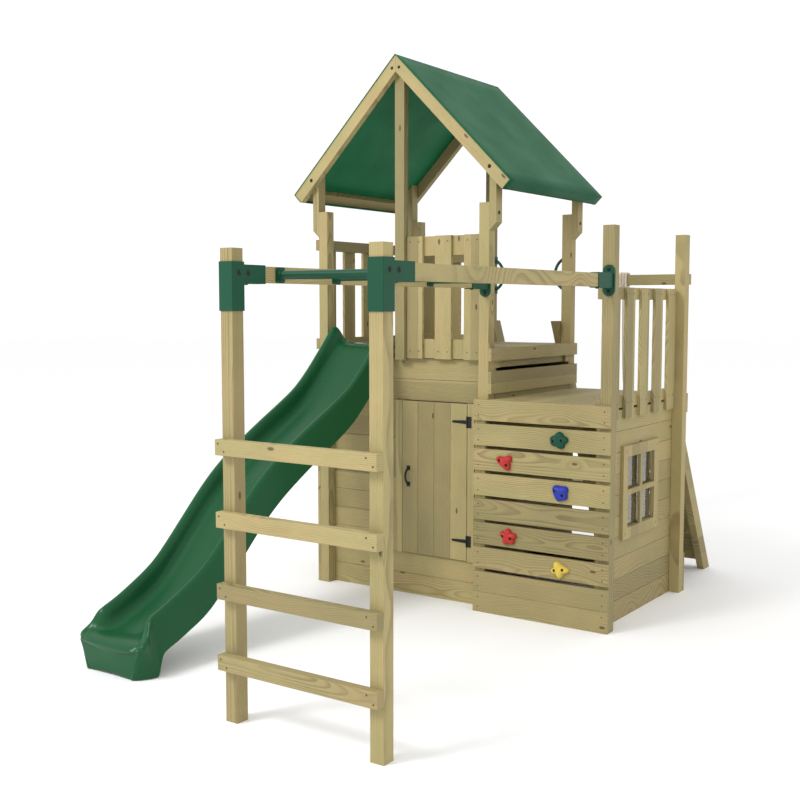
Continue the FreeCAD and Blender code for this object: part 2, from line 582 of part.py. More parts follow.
def window():
    """Four frame members and a cross of glazing bars proud of the boards, with clear panes."""
    x = (SIDE_X[1], SIDE_X[1] + BOARD_T)
    (y0, y1), (z0, z1), b = WINDOW_Y, WINDOW_Z, WINDOW_BORDER
    members = [timber(x, (y0 - b, y1 + b), (z1, z1 + b)), timber(x, (y0 - b, y1 + b), (z0 - b, z0)),
               timber(x, (y0 - b, y0), (z0, z1)), timber(x, (y1, y1 + b), (z0, z1))]
    ym, zm, half = (y0 + y1) / 2, (z0 + z1) / 2, 16.0
    members.append(timber(x, (ym - half, ym + half), (z0, z1)))
    for y in ((y0, ym - half), (ym + half, y1)):
        members.append(timber(x, y, (zm - half, zm + half)))
    pane = box((SIDE_X[0] + 8, SIDE_X[0] + 12), (y0 + 0.5, y1 - 0.5), (z0 + 0.5, z1 - 0.5))
    return {"window_frame": group(members), "window_pane": pane}


def annex():
    parts = {"annex_posts": group(
        timber(ANNEX_POST_X, (y0, y0 + POST), (0, ANNEX_H), EASE_POST)
        for y0 in (ANNEX_Y[0], ANNEX_Y[1] - POST))}
    hole = box((SIDE_X[0] - 5, SIDE_X[1] + 5), WINDOW_Y, WINDOW_Z)
    boards = []
    for z in rows(0, 1252):
        boards += timber(SIDE_X, ANNEX_Y, z).cut(hole).Solids
    rear = (ANNEX_Y[1], ANNEX_Y[1] + BOARD_T)
    for z in ((0, 123.5), (125, 250), (1170, 1293)):
        boards.append(timber((TOWER_X[1], ANNEX_RIGHT), rear, z))
    parts["annex_boards"] = group(boards)
    parts["wall_batten"] = timber((WALL_X[0], WALL_X[0] + POST), (WALL_Y[1], TOWER_Y[0]),
                                  (0, ANNEX_DECK))
    parts["rope_rail"] = timber((TOWER_X[1], ANNEX_RIGHT), RAIL_ROPE_Y, RAIL_ROPE_Z, EASE_POST)
    parts.update(window())
    return parts


# ---------------------------------------------------------------- ramp, back ladder, handles
def leaning_outline(top_y, top_z, angle, depth, back_y):
    """Side view (y, z) of a leaning stringer that stands on the ground against a face."""
    run = 1 / math.tan(math.radians(angle))
    level = depth / math.sin(math.radians(angle))
    foot = top_y + top_z * run
    meet = (foot - level - back_y) / run
    if meet > top_z:
        return [(top_y - level, top_z), (top_y, top_z), (foot, 0), (foot - level, 0)]
    return [(back_y, meet), (back_y, top_z), (top_y, top_z), (foot, 0), (foot - level, 0)]


def ramp():
    """Steep ramp at the back of the annex: close boards let in flush between two stringers."""
    left, right = RAMP_X
    width, depth = RAMP_STRINGER
    pieces = []
    for x, back_y in ((left, TOWER_Y[1] + 0.5), (right - width, ANNEX_Y[1] + BOARD_T + 0.5)):
        outline = leaning_outline(RAMP_TOP_Y, RAMP_TOP_Z, RAMP_ANGLE, depth, back_y)
        pieces.append(prism(outline, "X", x, x + width))
    for along in rows(*RAMP_BOARDS):
        board = timber((left + width, right - width), along, (-BOARD_T, 0))
        board.rotate(Vec(0, 0, 0), Vec(1, 0, 0), -RAMP_ANGLE)
        pieces.append(board.translate(Vec(0, RAMP_TOP_Y, RAMP_TOP_Z)))
    return group(pieces)


def back_ladder():
    """Leaning ladder up to the tower's rear opening."""
    w, depth = BACK_LADDER_STRINGER
    run = 1 / math.tan(math.radians(BACK_LADDER_ANGLE))
    level = depth / math.sin(math.radians(BACK_LADDER_ANGLE))
    clear_y, z_deck = INNER_Y[1] + 4.0, TOWER_DECK
    top_y = clear_y + level - (BACK_LADDER_TOP - z_deck) * run
    outline = leaning_outline(top_y, BACK_LADDER_TOP, BACK_LADDER_ANGLE, depth, 0.0)
    x0, x1 = KING_X[1] + 0.5, INNER_X[1] - 0.5
    pieces = [prism(outline, "X", x, x + w) for x in (x0, x1 - w)]
    for i in range(TREAD_COUNT):
        z = TREAD_FIRST + i * TREAD_PITCH
        y = top_y - level / 2 + (BACK_LADDER_TOP - z) * run - TREAD_W / 2 - 4
        pieces.append(timber((x0 + w, x1 - w), (y, y + TREAD_W), (z, z + TREAD_T)))
    return group(pieces)


def grab_handles():
    """Bowed hand holds either side of the rear opening."""
    handles = []
    for face, way, y in ((KING_X[1], 1, TOWER_Y[1] - KING_T / 2), (INNER_X[1], -1, TOWER_Y[1] - 35)):
        low, top = HANDLE_Z
        bar = bow((face + way * 4, y, low), (face + way * 4, y, top),
                  (face + way * HANDLE_BOW, y, (low + top) / 2), HANDLE_R)
        back = (face - 40, face) if way > 0 else (face, face + 40)
        bar = bar.cut(box(back, (y - 20, y + 20), (low - 40, top + 40)))
        x = (face, face + 7) if way > 0 else (face - 7, face)
        feet = [box(x, (y - 19, y + 19), (z - 27, z + 27)) for z in (low, top)]
        handles.append(bar.fuse(feet).removeSplitter())
    return group(handles)


# ---------------------------------------------------------------- rope
def rounded_path(points, bend=None):
    """Edges of a route: straight runs joined by tangent arcs. Returns (edges, radii, length)."""
    pts = [Vec(*p) for p in points]
    edges, radii = [], []
    start = pts[0]
    for before, here, after in zip(pts, pts[1:], pts[2:]):
        a, b = here - before, after - here
        half = a.getAngle(b) / 2
        radius = bend or 0.45 * min(a.Length, b.Length) / math.tan(half)
        cut = radius * math.tan(half)
        p, q = here - a.normalize() * cut, here + b.normalize() * cut
        inward = ((p + q) / 2 - here).normalize()
        mid = here + inward * (radius / math.cos(half) - radius)
        edges += [Part.makeLine(start, p), Part.Arc(p, mid, q).toShape()]
        radii.append(radius)
        start = q
    edges.append(Part.makeLine(start, pts[-1]))
    return edges, radii, sum(e.Length for e in edges)


def tube(points, radius, bend=None):
    edges, radii, length = rounded_path(points, bend)
    first = edges[0]
    ring = Part.Wire(Part.makeCircle(radius, first.Vertexes[0].Point,
                                     first.tangentAt(first.FirstParameter)))
    solid = Part.Wire(edges).makePipeShell([ring], True, False)
    return solid, radii, length


def rope():
    """Rope taken round the rail, hanging down and lying on the ramp, knotted at its end."""
    r = ROPE_R + 0.4
    y = (RAIL_ROPE_Y[0] - r, RAIL_ROPE_Y[1] + r)
    z = (RAIL_ROPE_Z[0] - r, RAIL_ROPE_Z[1] + r)
    bend = 12.0
    turns = []
    for x in ROPE_TURNS:
        mid = (z[0] + z[1]) / 2
        ring = [(x, y[1], mid), (x, y[1], z[0]), (x, y[0], z[0]), (x, y[0], z[1]), (x, y[1], z[1]),
                (x, y[1], mid)]
        turns.append(tube(ring, ROPE_R, bend)[0])
    x = ROPE_EXIT[0]
    hook = [(x, y[1] - r - 2, z[0]), (x, y[0], z[0]), (x, y[0], z[1]), (x, y[1], z[1]), ROPE_EXIT]
    turns.append(tube(hook, ROPE_R, bend)[0])
    hanging, radii, length = tube(ROPE_ROUTE, ROPE_R)
    section = math.pi * ROPE_R ** 2
    print("rope radii", [round(v) for v in radii], "length", round(length),
          "volume ratio", round(hanging.Volume / (section * length), 4))
    end, before = Vec(*ROPE_ROUTE[-1]), Vec(*ROPE_ROUTE[-2])
    along = (end - before).normalize()
    centre = end + along * (KNOT_R - 4)
    knot = Part.makeSphere(KNOT_R, centre)
    knot = knot.fuse(rod(tuple(centre), tuple(along), ROPE_R, KNOT_R + 34)).removeSplitter()
    return {"rope_turns": group(turns), "climbing_rope": hanging, "rope_knot": knot}


# ---------------------------------------------------------------- fixings
def bolt_caps():
    """Domed caps over the coach bolts of the brackets, sockets and roof."""
    caps = []
    z_mid = BEAM_Z + BEAM_H / 2
    for side in ("left", "right"):
        px, bx, py = LADDER_X[side], BEAM_X[side], socket_plate_y(side)
        mid_x = (bx[0] + bx[1]) / 2
        caps.append(dome((px[1] + PLASTIC, 40, z_mid + 5), (1, 0, 0), 13))
        caps.append(dome((bx[1] + PLASTIC, 128, z_mid + 5), (1, 0, 0), 13))
        caps.append(dome((mid_x, 140, BEAM_Z - PLASTIC), (0, 0, -1), 12))
        caps.append(dome((mid_x, py[0] - 150, BEAM_Z - PLASTIC), (0, 0, -1), 12))
        for z in (z_mid - 64, z_mid + 64):
            caps.append(dome((mid_x, py[0], z), (0, -1, 0), 12))
    for side in (-1, 1):
        x = CENTRE_X + side * 672
        caps.append(dome((x, TOWER_Y[0] - RAFTER_T, roof_drop(x) - 52), (0, -1, 0), 12))
        caps.append(dome((x, TOWER_Y[1] + RAFTER_T, roof_drop(x) - 52), (0, 1, 0), 12))
        face = (TOWER_X[0] if side < 0 else TOWER_X[1]) + side * 47
        for y in (TOWER_Y[0] + POST / 2, TOWER_Y[1] - POST / 2):
            caps.append(dome((face, y, 2405), (side, 0, 0), 12))
    for y, way in ((TOWER_Y[0] - RAFTER_T, -1), (TOWER_Y[1] + RAFTER_T, 1)):
        caps.append(dome((CENTRE_X - 26, y, RIDGE_Z - 80), (0, way, 0), 10))
        caps.append(dome((CENTRE_X + 26, y, RIDGE_Z - 80), (0, way, 0), 10))
    return group(caps)


def screw_head(point, direction):
    head = rod(point, direction, 4.2, 0.9)
    return head.cut(rod(tuple(Vec(*point) + Vec(*direction) * 0.4), direction, 1.9, 2.0))


def wood_screws():
    """Screw heads that hold the rungs, wall boards, pickets, window and door planks."""
    spots = []
    for i in range(RUNG_COUNT):
        z = RUNG_FIRST + i * RUNG_PITCH
        for x in (-LADDER_W, -POST):
            spots += [((x + 18, -RUNG_T, z + 52), "front"), ((x + 52, -RUNG_T, z + 18), "front")]
    for low, high in WALL_ROWS:
        for x in (-862, -46):
            spots += [((x, WALL_Y[0], low + 32), "front"), ((x, WALL_Y[0], high - 32), "front")]
    for x in pickets_along(KING_X[1], INNER_X[1], 3):
        for z in (TOWER_DECK - 30, TOWER_DECK + 650):
            spots += [((x[0] + 26, TOWER_Y[0] + KING_T - BOARD_T, z), "front"),
                      ((x[1] - 26, TOWER_Y[0] + KING_T - BOARD_T, z), "front")]
    for y in pickets_along(ANNEX_Y[0] + POST, ANNEX_Y[1] - POST, 5):
        for z in (ANNEX_DECK - 5, ANNEX_DECK + 630):
            spots += [((ANNEX_POST_X[0] + BOARD_T, y[0] + 26, z), "right"),
                      ((ANNEX_POST_X[0] + BOARD_T, y[1] - 26, z), "right")]
    for z in (1390, 1325 + 30, 1560):
        for y in (TOWER_Y[0] + 22, TOWER_Y[1] - 22):
            if z < 1560 or y > TOWER_Y[0]:
                spots.append(((TOWER_X[1] + BOARD_T, y, z), "right"))
    for y in (WINDOW_Y[0] - 34, WINDOW_Y[1] + 34):
        for z in (WINDOW_Z[0] - 34, WINDOW_Z[1] + 34):
            spots.append(((SIDE_X[1] + BOARD_T, y, z), "right"))
    way = {"front": (0, -1, 0), "right": (1, 0, 0)}
    return group(screw_head(p, way[d]) for p, d in spots)


# ---------------------------------------------------------------- assembly
def build():
    parts = {}
    for section in (ladder(), monkey_bars(), tower_posts(), roof(), decks(), railings(),
                    cladding(), door(), annex(), climbing_wall(), rope()):
        parts.update(section)
    parts["slide"] = slide()
    parts["ramp"] = ramp()
    parts["back_ladder"] = back_ladder()
    parts["grab_handles"] = grab_handles()
    parts["bolt_caps"] = bolt_caps()
    parts["wood_screws"] = wood_screws()
    return parts


def export(parts):
    """Move the frame so that its origin is the middle of its footprint, and write each node."""
    whole = FreeCAD.BoundBox()
    for name, shape in parts.items():
        if name not in ("climbing_rope", "rope_knot"):
            whole.add(shape.BoundBox)
    shift = Vec(-whole.Center.x, -whole.Center.y, -whole.ZMin)
    os.makedirs("parts", exist_ok=True)
    for name, shape in sorted(parts.items()):
        shape = shape.copy()
        shape.translate(shift)
        shape.exportStep("parts/%s.step" % name)
    print("nodes", len(parts), "shift", [round(v, 3) for v in shift],
          "size", round(whole.XLength, 1), round(whole.YLength, 1), round(whole.ZLength, 1))


export(build())
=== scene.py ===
# %% [markdown]
# # A timber climbing frame with a rock wall
# The structure comes in as a fixed frame: posts, boards, rungs, brackets and hinges at their real
# places. This lesson adds what a workshop drawing leaves out: the grain of the timber, the moulded
# slide, the stretched roof sheet, the hand holds and the rope. Every length is in metres.

# %% Load the frame
import bpy
import bmesh
import math
from mathutils import Matrix, Vector


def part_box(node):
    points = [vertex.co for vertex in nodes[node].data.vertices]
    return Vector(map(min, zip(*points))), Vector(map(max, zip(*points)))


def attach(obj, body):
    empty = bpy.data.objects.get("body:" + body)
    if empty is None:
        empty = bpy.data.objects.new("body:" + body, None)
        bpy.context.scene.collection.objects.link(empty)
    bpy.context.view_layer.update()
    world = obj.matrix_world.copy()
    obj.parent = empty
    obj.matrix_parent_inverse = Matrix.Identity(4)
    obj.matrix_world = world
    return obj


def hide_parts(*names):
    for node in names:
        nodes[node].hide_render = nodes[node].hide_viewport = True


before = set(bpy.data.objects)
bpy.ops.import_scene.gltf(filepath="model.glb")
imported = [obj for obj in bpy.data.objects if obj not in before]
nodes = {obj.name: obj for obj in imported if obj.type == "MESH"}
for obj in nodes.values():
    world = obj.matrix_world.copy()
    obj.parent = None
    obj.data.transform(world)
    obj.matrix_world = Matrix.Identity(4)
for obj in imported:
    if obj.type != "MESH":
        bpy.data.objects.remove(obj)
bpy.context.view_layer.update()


def low(node):
    return Vector(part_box(node)[0])


def high(node):
    return Vector(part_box(node)[1])


# %% [markdown]
# ## The camera
# The camera's place is given from one corner of the ladder, the corner nearest to it, so it would
# move with the model if the frame's origin ever changed. A 50 mm lens on a 36 mm sensor is close
# to how an eye sees the thing from a few steps away.

# %% Camera
LADDER_CORNER = Vector((high("ladder_posts").x, low("ladder_posts").y, 0.0))
CAMERA_FROM_CORNER = Vector((2.538, -3.546, 1.859))
CAMERA_TILT, CAMERA_TURN = math.radians(90 - 4.881), math.radians(34.7345)

lens = bpy.data.cameras.new("studio_camera")
lens.lens, lens.sensor_width = 50.10, 36.0
camera = bpy.data.objects.new("studio_camera", lens)
camera.location = LADDER_CORNER + CAMERA_FROM_CORNER
camera.rotation_euler = (CAMERA_TILT, 0.0, CAMERA_TURN)
bpy.context.scene.collection.objects.link(camera)
bpy.context.scene.camera = camera
print("camera at", [round(v, 2) for v in camera.location])

# %% [markdown]
# ## Helpers for making pieces
# Nearly every piece goes the same way: shape a bmesh, turn it into an object, smooth it, and tell
# the frame which body it rides on. Keeping that in one short function leaves the cells below with
# nothing but the shape itself.


# %% Piece helpers
def piece_from(bm, name, smooth=True):
    """Turn a bmesh into an object at the origin, with its faces pointing outwards."""
    bmesh.ops.recalc_face_normals(bm, faces=bm.faces)
    mesh = bpy.data.meshes.new(name)
    bm.to_mesh(mesh)
    bm.free()
    for face in mesh.polygons:
        face.use_smooth = smooth
    piece = bpy.data.objects.new(name, mesh)
    bpy.context.scene.collection.objects.link(piece)
    return piece


def subdivide(piece, levels):
    modifier = piece.modifiers.new("smooth", "SUBSURF")
    modifier.levels = modifier.render_levels = levels


def finish_piece(piece, material, body="frame"):
    piece.data.materials.append(material)
    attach(piece, body)
    print(piece.name, len(piece.data.polygons), "faces")


# %% [markdown]
# ## The rope's line
# A rope hangs from its rail and then lies down the ramp. Its line is drawn first as a smooth
# spline through a few listed control points; the strands follow it later. A NURBS spline of
# order 3 rounds every corner by itself, so no corner has to be rounded by hand. The order and the
# end points are set after the points exist, because before that Blender clamps them.

# %% Rope line
ROPE_D = 0.018
TO_FRAME = Vector((1.138763, -2.070507, 0.0))
ROPE_POINTS = ((-478.6, 3412.4, 2010), (-478.6, 3412.4, 1900), (-478.2, 3417, 1710),
               (-477, 3426, 1500), (-475.5, 3440, 1320), (-472.5, 3495, 1187), (-468, 3593, 1010),
               (-465, 3692, 830), (-464, 3791, 650), (-465, 3865, 520), (-467, 3924, 430))
TURN_PLACES = (-0.4420, -0.4603)
ROPE_ROUTE = [Vector(p) / 1000 + TO_FRAME for p in ROPE_POINTS]


def sampled_line(points, name, closed=False, resolution=14):
    """Points read back from a NURBS spline drawn through the given control points."""
    curve = bpy.data.curves.new(name, "CURVE")
    curve.dimensions = "3D"
    curve.resolution_u = resolution
    spline = curve.splines.new("NURBS")
    spline.points.add(len(points) - 1)
    for point, place in zip(spline.points, points):
        point.co = (*place, 1.0)
    spline.order_u = 3
    spline.use_endpoint_u = not closed
    spline.use_cyclic_u = closed
    line = bpy.data.objects.new(name, curve)
    bpy.context.scene.collection.objects.link(line)
    bpy.context.view_layer.update()
    ready = line.evaluated_get(bpy.context.evaluated_depsgraph_get())
    mesh = bpy.data.meshes.new_from_object(ready)
    places = [v.co.copy() for v in mesh.vertices]
    bpy.data.objects.remove(line)
    bpy.data.meshes.remove(mesh)
    return places


def line_length(points):
    return sum((b - a).length for a, b in zip(points, points[1:]))


rope_line = sampled_line(ROPE_ROUTE, "rope_line")
rope_length = line_length(rope_line)
print("rope", round(rope_length, 3), "m,", len(rope_line), "points")

# %% [markdown]
# ## Twisting three strands
# A laid rope is three strands wound round one another. Each strand is a round tube whose line
# circles the rope's line once per lay, the three of them a third of a turn apart. A curve with a
# bevel depth makes the tube, and converting it to a mesh lets the three be joined into one piece.

# %% Strands
LAY_LENGTH = 0.055
STRAND_R = ROPE_D / 2 / 2.1547
STRAND_OFFSET = ROPE_D / 2 - STRAND_R


def even_line(points, step):
    """The same line with its points an equal step apart."""
    count = max(2, round(line_length(points) / step))
    wanted = [line_length(points) * i / count for i in range(count + 1)]
    out, run, index = [], 0.0, 0
    for goal in wanted:
        while index < len(points) - 2 and run + (points[index + 1] - points[index]).length < goal:
            run += (points[index + 1] - points[index]).length
            index += 1
        span = (points[index + 1] - points[index]).length
        share = 0.0 if span == 0 else min(1.0, (goal - run) / span)
        out.append(points[index].lerp(points[index + 1], share))
    return out


def twisted(points, name, closed=False):
    """Three round strands laid along a line, joined into one mesh piece."""
    line = even_line(points, 0.005)
    side = Vector((1, 0, 0))
    turns = max(1, round(line_length(line) / LAY_LENGTH))
    curve = bpy.data.curves.new(name, "CURVE")
    curve.dimensions = "3D"
    curve.bevel_depth = STRAND_R
    curve.bevel_resolution = 2
    curve.use_fill_caps = not closed
    for strand in range(3):
        spline = curve.splines.new("POLY")
        last = len(line) - 1
        used = line[:-1] if closed else line
        spline.points.add(len(used) - 1)
        for i, place in enumerate(used):
            along = (line[min(i + 1, last)] - line[max(i - 1, 0)]).normalized()
            out = (side - along * side.dot(along)).normalized()
            angle = 2 * math.pi * (turns * i / last + strand / 3)
            spoke = Matrix.Rotation(angle, 3, along) @ out * STRAND_OFFSET
            spline.points[i].co = (*(place + spoke), 1.0)
        spline.use_cyclic_u = closed
    maker = bpy.data.objects.new(name, curve)
    bpy.context.scene.collection.objects.link(maker)
    bpy.context.view_layer.update()
    ready = maker.evaluated_get(bpy.context.evaluated_depsgraph_get())
    mesh = bpy.data.meshes.new_from_object(ready)
    bpy.data.objects.remove(maker)
    bm = bmesh.new()
    bm.from_mesh(mesh)
    return piece_from(bm, name)


rope = twisted(rope_line, "rope_strands")
print("rope strands", len(rope.data.polygons), "faces")

# %% [markdown]
# ## Shader node groups
# Grain, mould texture and weave are each used by more than one material, so each is built once
# as a node group with named inputs, the way a workshop keeps one jig for many parts. A group gives
# out only colours and values; the shader itself stays in each material.


# %% Node group helpers
def new_group(name, inputs, outputs):
    """An empty shader group with its sockets. Inputs are (name, type, default)."""
    group = bpy.data.node_groups.new(name, "ShaderNodeTree")
    for label, kind, default in inputs:
        socket = group.interface.new_socket(label, in_out="INPUT", socket_type="NodeSocket" + kind)
        socket.default_value = default
    for label, kind in outputs:
        group.interface.new_socket(label, in_out="OUTPUT", socket_type="NodeSocket" + kind)
    return group, group.nodes.new("NodeGroupInput"), group.nodes.new("NodeGroupOutput")


def plug(tree, value, socket):
    """Link a socket, or set a plain value."""
    if isinstance(value, bpy.types.NodeSocket):
        tree.links.new(value, socket)
    elif value is not None:
        socket.default_value = value


def math_node(tree, operation, a, b=None):
    node = tree.nodes.new("ShaderNodeMath")
    node.operation = operation
    for value, socket in zip((a, b), node.inputs):
        plug(tree, value, socket)
    return node.outputs[0]


def vector_node(tree, operation, a, b=None):
    node = tree.nodes.new("ShaderNodeVectorMath")
    node.operation = operation
    plug(tree, a, node.inputs[0])
    plug(tree, b, node.inputs[1])
    return node.outputs["Value"] if operation == "DOT_PRODUCT" else node.outputs[0]


def noise(tree, vector, scale, detail=3.0, rough=0.5):
    node = tree.nodes.new("ShaderNodeTexNoise")
    plug(tree, vector, node.inputs["Vector"])
    plug(tree, scale, node.inputs["Scale"])
    node.inputs["Detail"].default_value = detail
    node.inputs["Roughness"].default_value = rough
    return node.outputs["Fac"]


def ramp_value(tree, value, low_in, high_in, low_out=0.0, high_out=1.0):
    node = tree.nodes.new("ShaderNodeMapRange")
    node.interpolation_type = "SMOOTHSTEP"
    plug(tree, value, node.inputs["Value"])
    for label, number in (("From Min", low_in), ("From Max", high_in), ("To Min", low_out),
                          ("To Max", high_out)):
        plug(tree, number, node.inputs[label])
    return node.outputs["Result"]


def mix_colour(tree, share, a, b, blend="MIX"):
    node = tree.nodes.new("ShaderNodeMix")
    node.data_type = "RGBA"
    node.blend_type = blend
    plug(tree, share, node.inputs["Factor"])
    plug(tree, a, node.inputs["A"])
    plug(tree, b, node.inputs["B"])
    return node.outputs["Result"]


# %% [markdown]
# ## Timber grain
# A sawn board is a slice through a log, so its pattern comes from the log's rings. The group
# measures how far each point is from an imagined pith line that runs along the board, and turns
# that distance into rings. Where the pith wanders, the rings open into the long arches seen on
# flat-sawn pine. Each board takes its own pith: its number is found by cutting the node's
# coordinates into rows, and white noise turns the number into an offset.

# %% Timber grain group
GRAIN_INPUTS = (("Vector", "Vector", (0, 0, 0)), ("Along", "Vector", (0, 0, 1)),
                ("Across", "Vector", (1, 0, 0)), ("Rows", "Vector", (0, 0, 0)),
                ("Row Start", "Vector", (0, 0, 0)), ("Seed", "Float", 0.0),
                ("Ring Width", "Float", 0.007), ("Pale", "Color", (0.5, 0.4, 0.2, 1)),
                ("Dark", "Color", (0.3, 0.2, 0.1, 1)), ("Knots", "Float", 1.0),
                ("Wander", "Float", 1.0))
grain, g_in, g_out = new_group("timber_grain", GRAIN_INPUTS,
                               (("Color", "Color"), ("Roughness", "Float"), ("Height", "Float")))
place = g_in.outputs["Vector"]
row = vector_node(grain, "FLOOR", vector_node(
    grain, "MULTIPLY", vector_node(grain, "SUBTRACT", place, g_in.outputs["Row Start"]),
    g_in.outputs["Rows"]))
board = grain.nodes.new("ShaderNodeTexWhiteNoise")
board.noise_dimensions = "4D"
grain.links.new(row, board.inputs["Vector"])
grain.links.new(g_in.outputs["Seed"], board.inputs["W"])
split = grain.nodes.new("ShaderNodeSeparateColor")
grain.links.new(board.outputs["Color"], split.inputs["Color"])

along = vector_node(grain, "DOT_PRODUCT", place, g_in.outputs["Along"])
across = vector_node(grain, "DOT_PRODUCT", place, g_in.outputs["Across"])
third = grain.nodes.new("ShaderNodeVectorMath")
third.operation = "CROSS_PRODUCT"
grain.links.new(g_in.outputs["Along"], third.inputs[0])
grain.links.new(g_in.outputs["Across"], third.inputs[1])
through = vector_node(grain, "DOT_PRODUCT", place, third.outputs[0])


def combine(x, y, z):
    node = grain.nodes.new("ShaderNodeCombineXYZ")
    for value, socket in zip((x, y, z), node.inputs):
        plug(grain, value, socket)
    return node.outputs[0]


shift = math_node(grain, "MULTIPLY", split.outputs[0], 37.0)
along_here = math_node(grain, "ADD", along, shift)

# knots are ellipses scattered over the length and girth, and push the rings aside
girth = math_node(grain, "ADD", math_node(grain, "ADD", across, through), shift)
spots = grain.nodes.new("ShaderNodeTexVoronoi")
spots.voronoi_dimensions = "2D"
spots.inputs["Scale"].default_value = 1.0
grain.links.new(combine(math_node(grain, "MULTIPLY", along_here, 2.3),
                        math_node(grain, "MULTIPLY", girth, 5.5), 0.0), spots.inputs["Vector"])
knot = ramp_value(grain, spots.outputs["Distance"], 0.055, 0.030)
halo = ramp_value(grain, spots.outputs["Distance"], 0.24, 0.03)
pick = grain.nodes.new("ShaderNodeSeparateColor")
grain.links.new(spots.outputs["Color"], pick.inputs["Color"])
chosen = math_node(grain, "MULTIPLY", math_node(grain, "GREATER_THAN", pick.outputs[0], 0.68),
                   g_in.outputs["Knots"])
knot = math_node(grain, "MULTIPLY", knot, chosen)
halo = math_node(grain, "MULTIPLY", halo, chosen)

wander = noise(grain, combine(along_here, across, through), 1.25, 2.0, 0.45)
wander = math_node(grain, "MULTIPLY", math_node(grain, "SUBTRACT", wander, 0.5), g_in.outputs["Wander"])
pith_a = math_node(grain, "ADD", ramp_value(grain, split.outputs[1], 0.0, 1.0, -0.075, 0.075),
                   math_node(grain, "MULTIPLY", wander, 0.20))
pith_b = math_node(grain, "ADD", ramp_value(grain, split.outputs[2], 0.0, 1.0, 0.03, 0.11),
                   math_node(grain, "MULTIPLY", wander, -0.13))
centre_a = vector_node(grain, "DOT_PRODUCT", g_in.outputs["Row Start"], g_in.outputs["Across"])
centre_b = vector_node(grain, "DOT_PRODUCT", g_in.outputs["Row Start"], third.outputs[0])
off_a = math_node(grain, "SUBTRACT", math_node(grain, "SUBTRACT", across, centre_a), pith_a)
off_b = math_node(grain, "SUBTRACT", math_node(grain, "SUBTRACT", through, centre_b), pith_b)
distance = math_node(grain, "SQRT", math_node(
    grain, "ADD", math_node(grain, "MULTIPLY", off_a, off_a), math_node(grain, "MULTIPLY", off_b, off_b)))
distance = math_node(grain, "ADD", distance, math_node(grain, "MULTIPLY", halo, 0.012))
rings = math_node(grain, "DIVIDE", distance, g_in.outputs["Ring Width"])
uneven = noise(grain, combine(0.0, 0.0, math_node(grain, "MULTIPLY", rings, 0.37)), 1.0, 2.0, 0.6)
rings = math_node(grain, "ADD", rings, math_node(grain, "MULTIPLY", uneven, 1.6))
saw = math_node(grain, "FRACT", rings)
late = math_node(grain, "MULTIPLY", ramp_value(grain, saw, 0.30, 0.92), ramp_value(grain, saw, 1.0, 0.93))
strength = ramp_value(grain, noise(grain, combine(math_node(grain, "MULTIPLY", along_here, 1.6),
                                                  across, through), 2.6), 0.25, 0.75, 0.35, 1.0)
late = math_node(grain, "MULTIPLY", late, strength)

# fine fibres, far longer than they are wide
fibre = noise(grain, combine(math_node(grain, "MULTIPLY", along_here, 0.035),
                             across, through), 620.0, 3.0, 0.65)
cloud = noise(grain, combine(math_node(grain, "MULTIPLY", along_here, 0.4), across, through),
              5.0, 3.0, 0.55)
tone = ramp_value(grain, board.outputs["Value"], 0.0, 1.0, 0.80, 1.16)
colour = mix_colour(grain, math_node(grain, "MULTIPLY", late, 0.72), g_in.outputs["Pale"],
                    g_in.outputs["Dark"])
green = mix_colour(grain, ramp_value(grain, cloud, 0.35, 0.75, 0.0, 0.30), colour,
                   (0.190, 0.195, 0.078, 1))
pinkish = mix_colour(grain, math_node(grain, "MULTIPLY", ramp_value(grain, cloud, 0.52, 0.22), 0.24),
                     green, (0.360, 0.225, 0.112, 1))
brown = mix_colour(grain, math_node(grain, "MULTIPLY", knot, 0.88), pinkish, (0.085, 0.045, 0.02, 1))
shade = math_node(grain, "MULTIPLY", tone, ramp_value(grain, fibre, 0.25, 0.75, 0.91, 1.07))
grey = grain.nodes.new("ShaderNodeCombineColor")
for socket in grey.inputs:
    grain.links.new(shade, socket)
grain.links.new(mix_colour(grain, 1.0, brown, grey.outputs[0], "MULTIPLY"), g_out.inputs["Color"])
grain.links.new(ramp_value(grain, math_node(grain, "ADD", math_node(grain, "MULTIPLY", late, 0.4), fibre),
                           0.2, 1.3, 0.74, 0.52), g_out.inputs["Roughness"])
grain.links.new(math_node(grain, "SUBTRACT", math_node(grain, "MULTIPLY", fibre, 0.5),
                          math_node(grain, "MULTIPLY", late, 0.6)), g_out.inputs["Height"])
print("timber grain", len(grain.nodes), "nodes")

# %% [markdown]
# ## Timber materials
# Each timber node gets its own material, because the grain has to know which way its boards run
# and how they are stacked. `rows` says how many boards there are per metre along each axis, so the
# group can tell one board from the next.

# %% Timber material
PALE_PINE = (0.350, 0.285, 0.122, 1)
DARK_PINE = (0.150, 0.100, 0.034, 1)
POST_WANDER = 0.25
AXES = {"X": (1, 0, 0), "Y": (0, 1, 0), "Z": (0, 0, 1)}


def base_material(name, metallic=0.0):
    material = bpy.data.materials.new(name)
    material.use_nodes = True
    shader = material.node_tree.nodes["Principled BSDF"]
    shader.inputs["Metallic"].default_value = metallic
    coordinates = material.node_tree.nodes.new("ShaderNodeTexCoord").outputs["Object"]
    return material, material.node_tree, shader, coordinates


def add_group(tree, group, **values):
    node = tree.nodes.new("ShaderNodeGroup")
    node.node_tree = group
    for label, value in values.items():
        plug(tree, value, node.inputs[label.replace("_", " ")])
    return node


def add_bump(tree, shader, height, distance, strength=1.0):
    bump = tree.nodes.new("ShaderNodeBump")
    bump.inputs["Distance"].default_value = distance
    bump.inputs["Strength"].default_value = strength
    plug(tree, height, bump.inputs["Height"])
    tree.links.new(bump.outputs["Normal"], shader.inputs["Normal"])


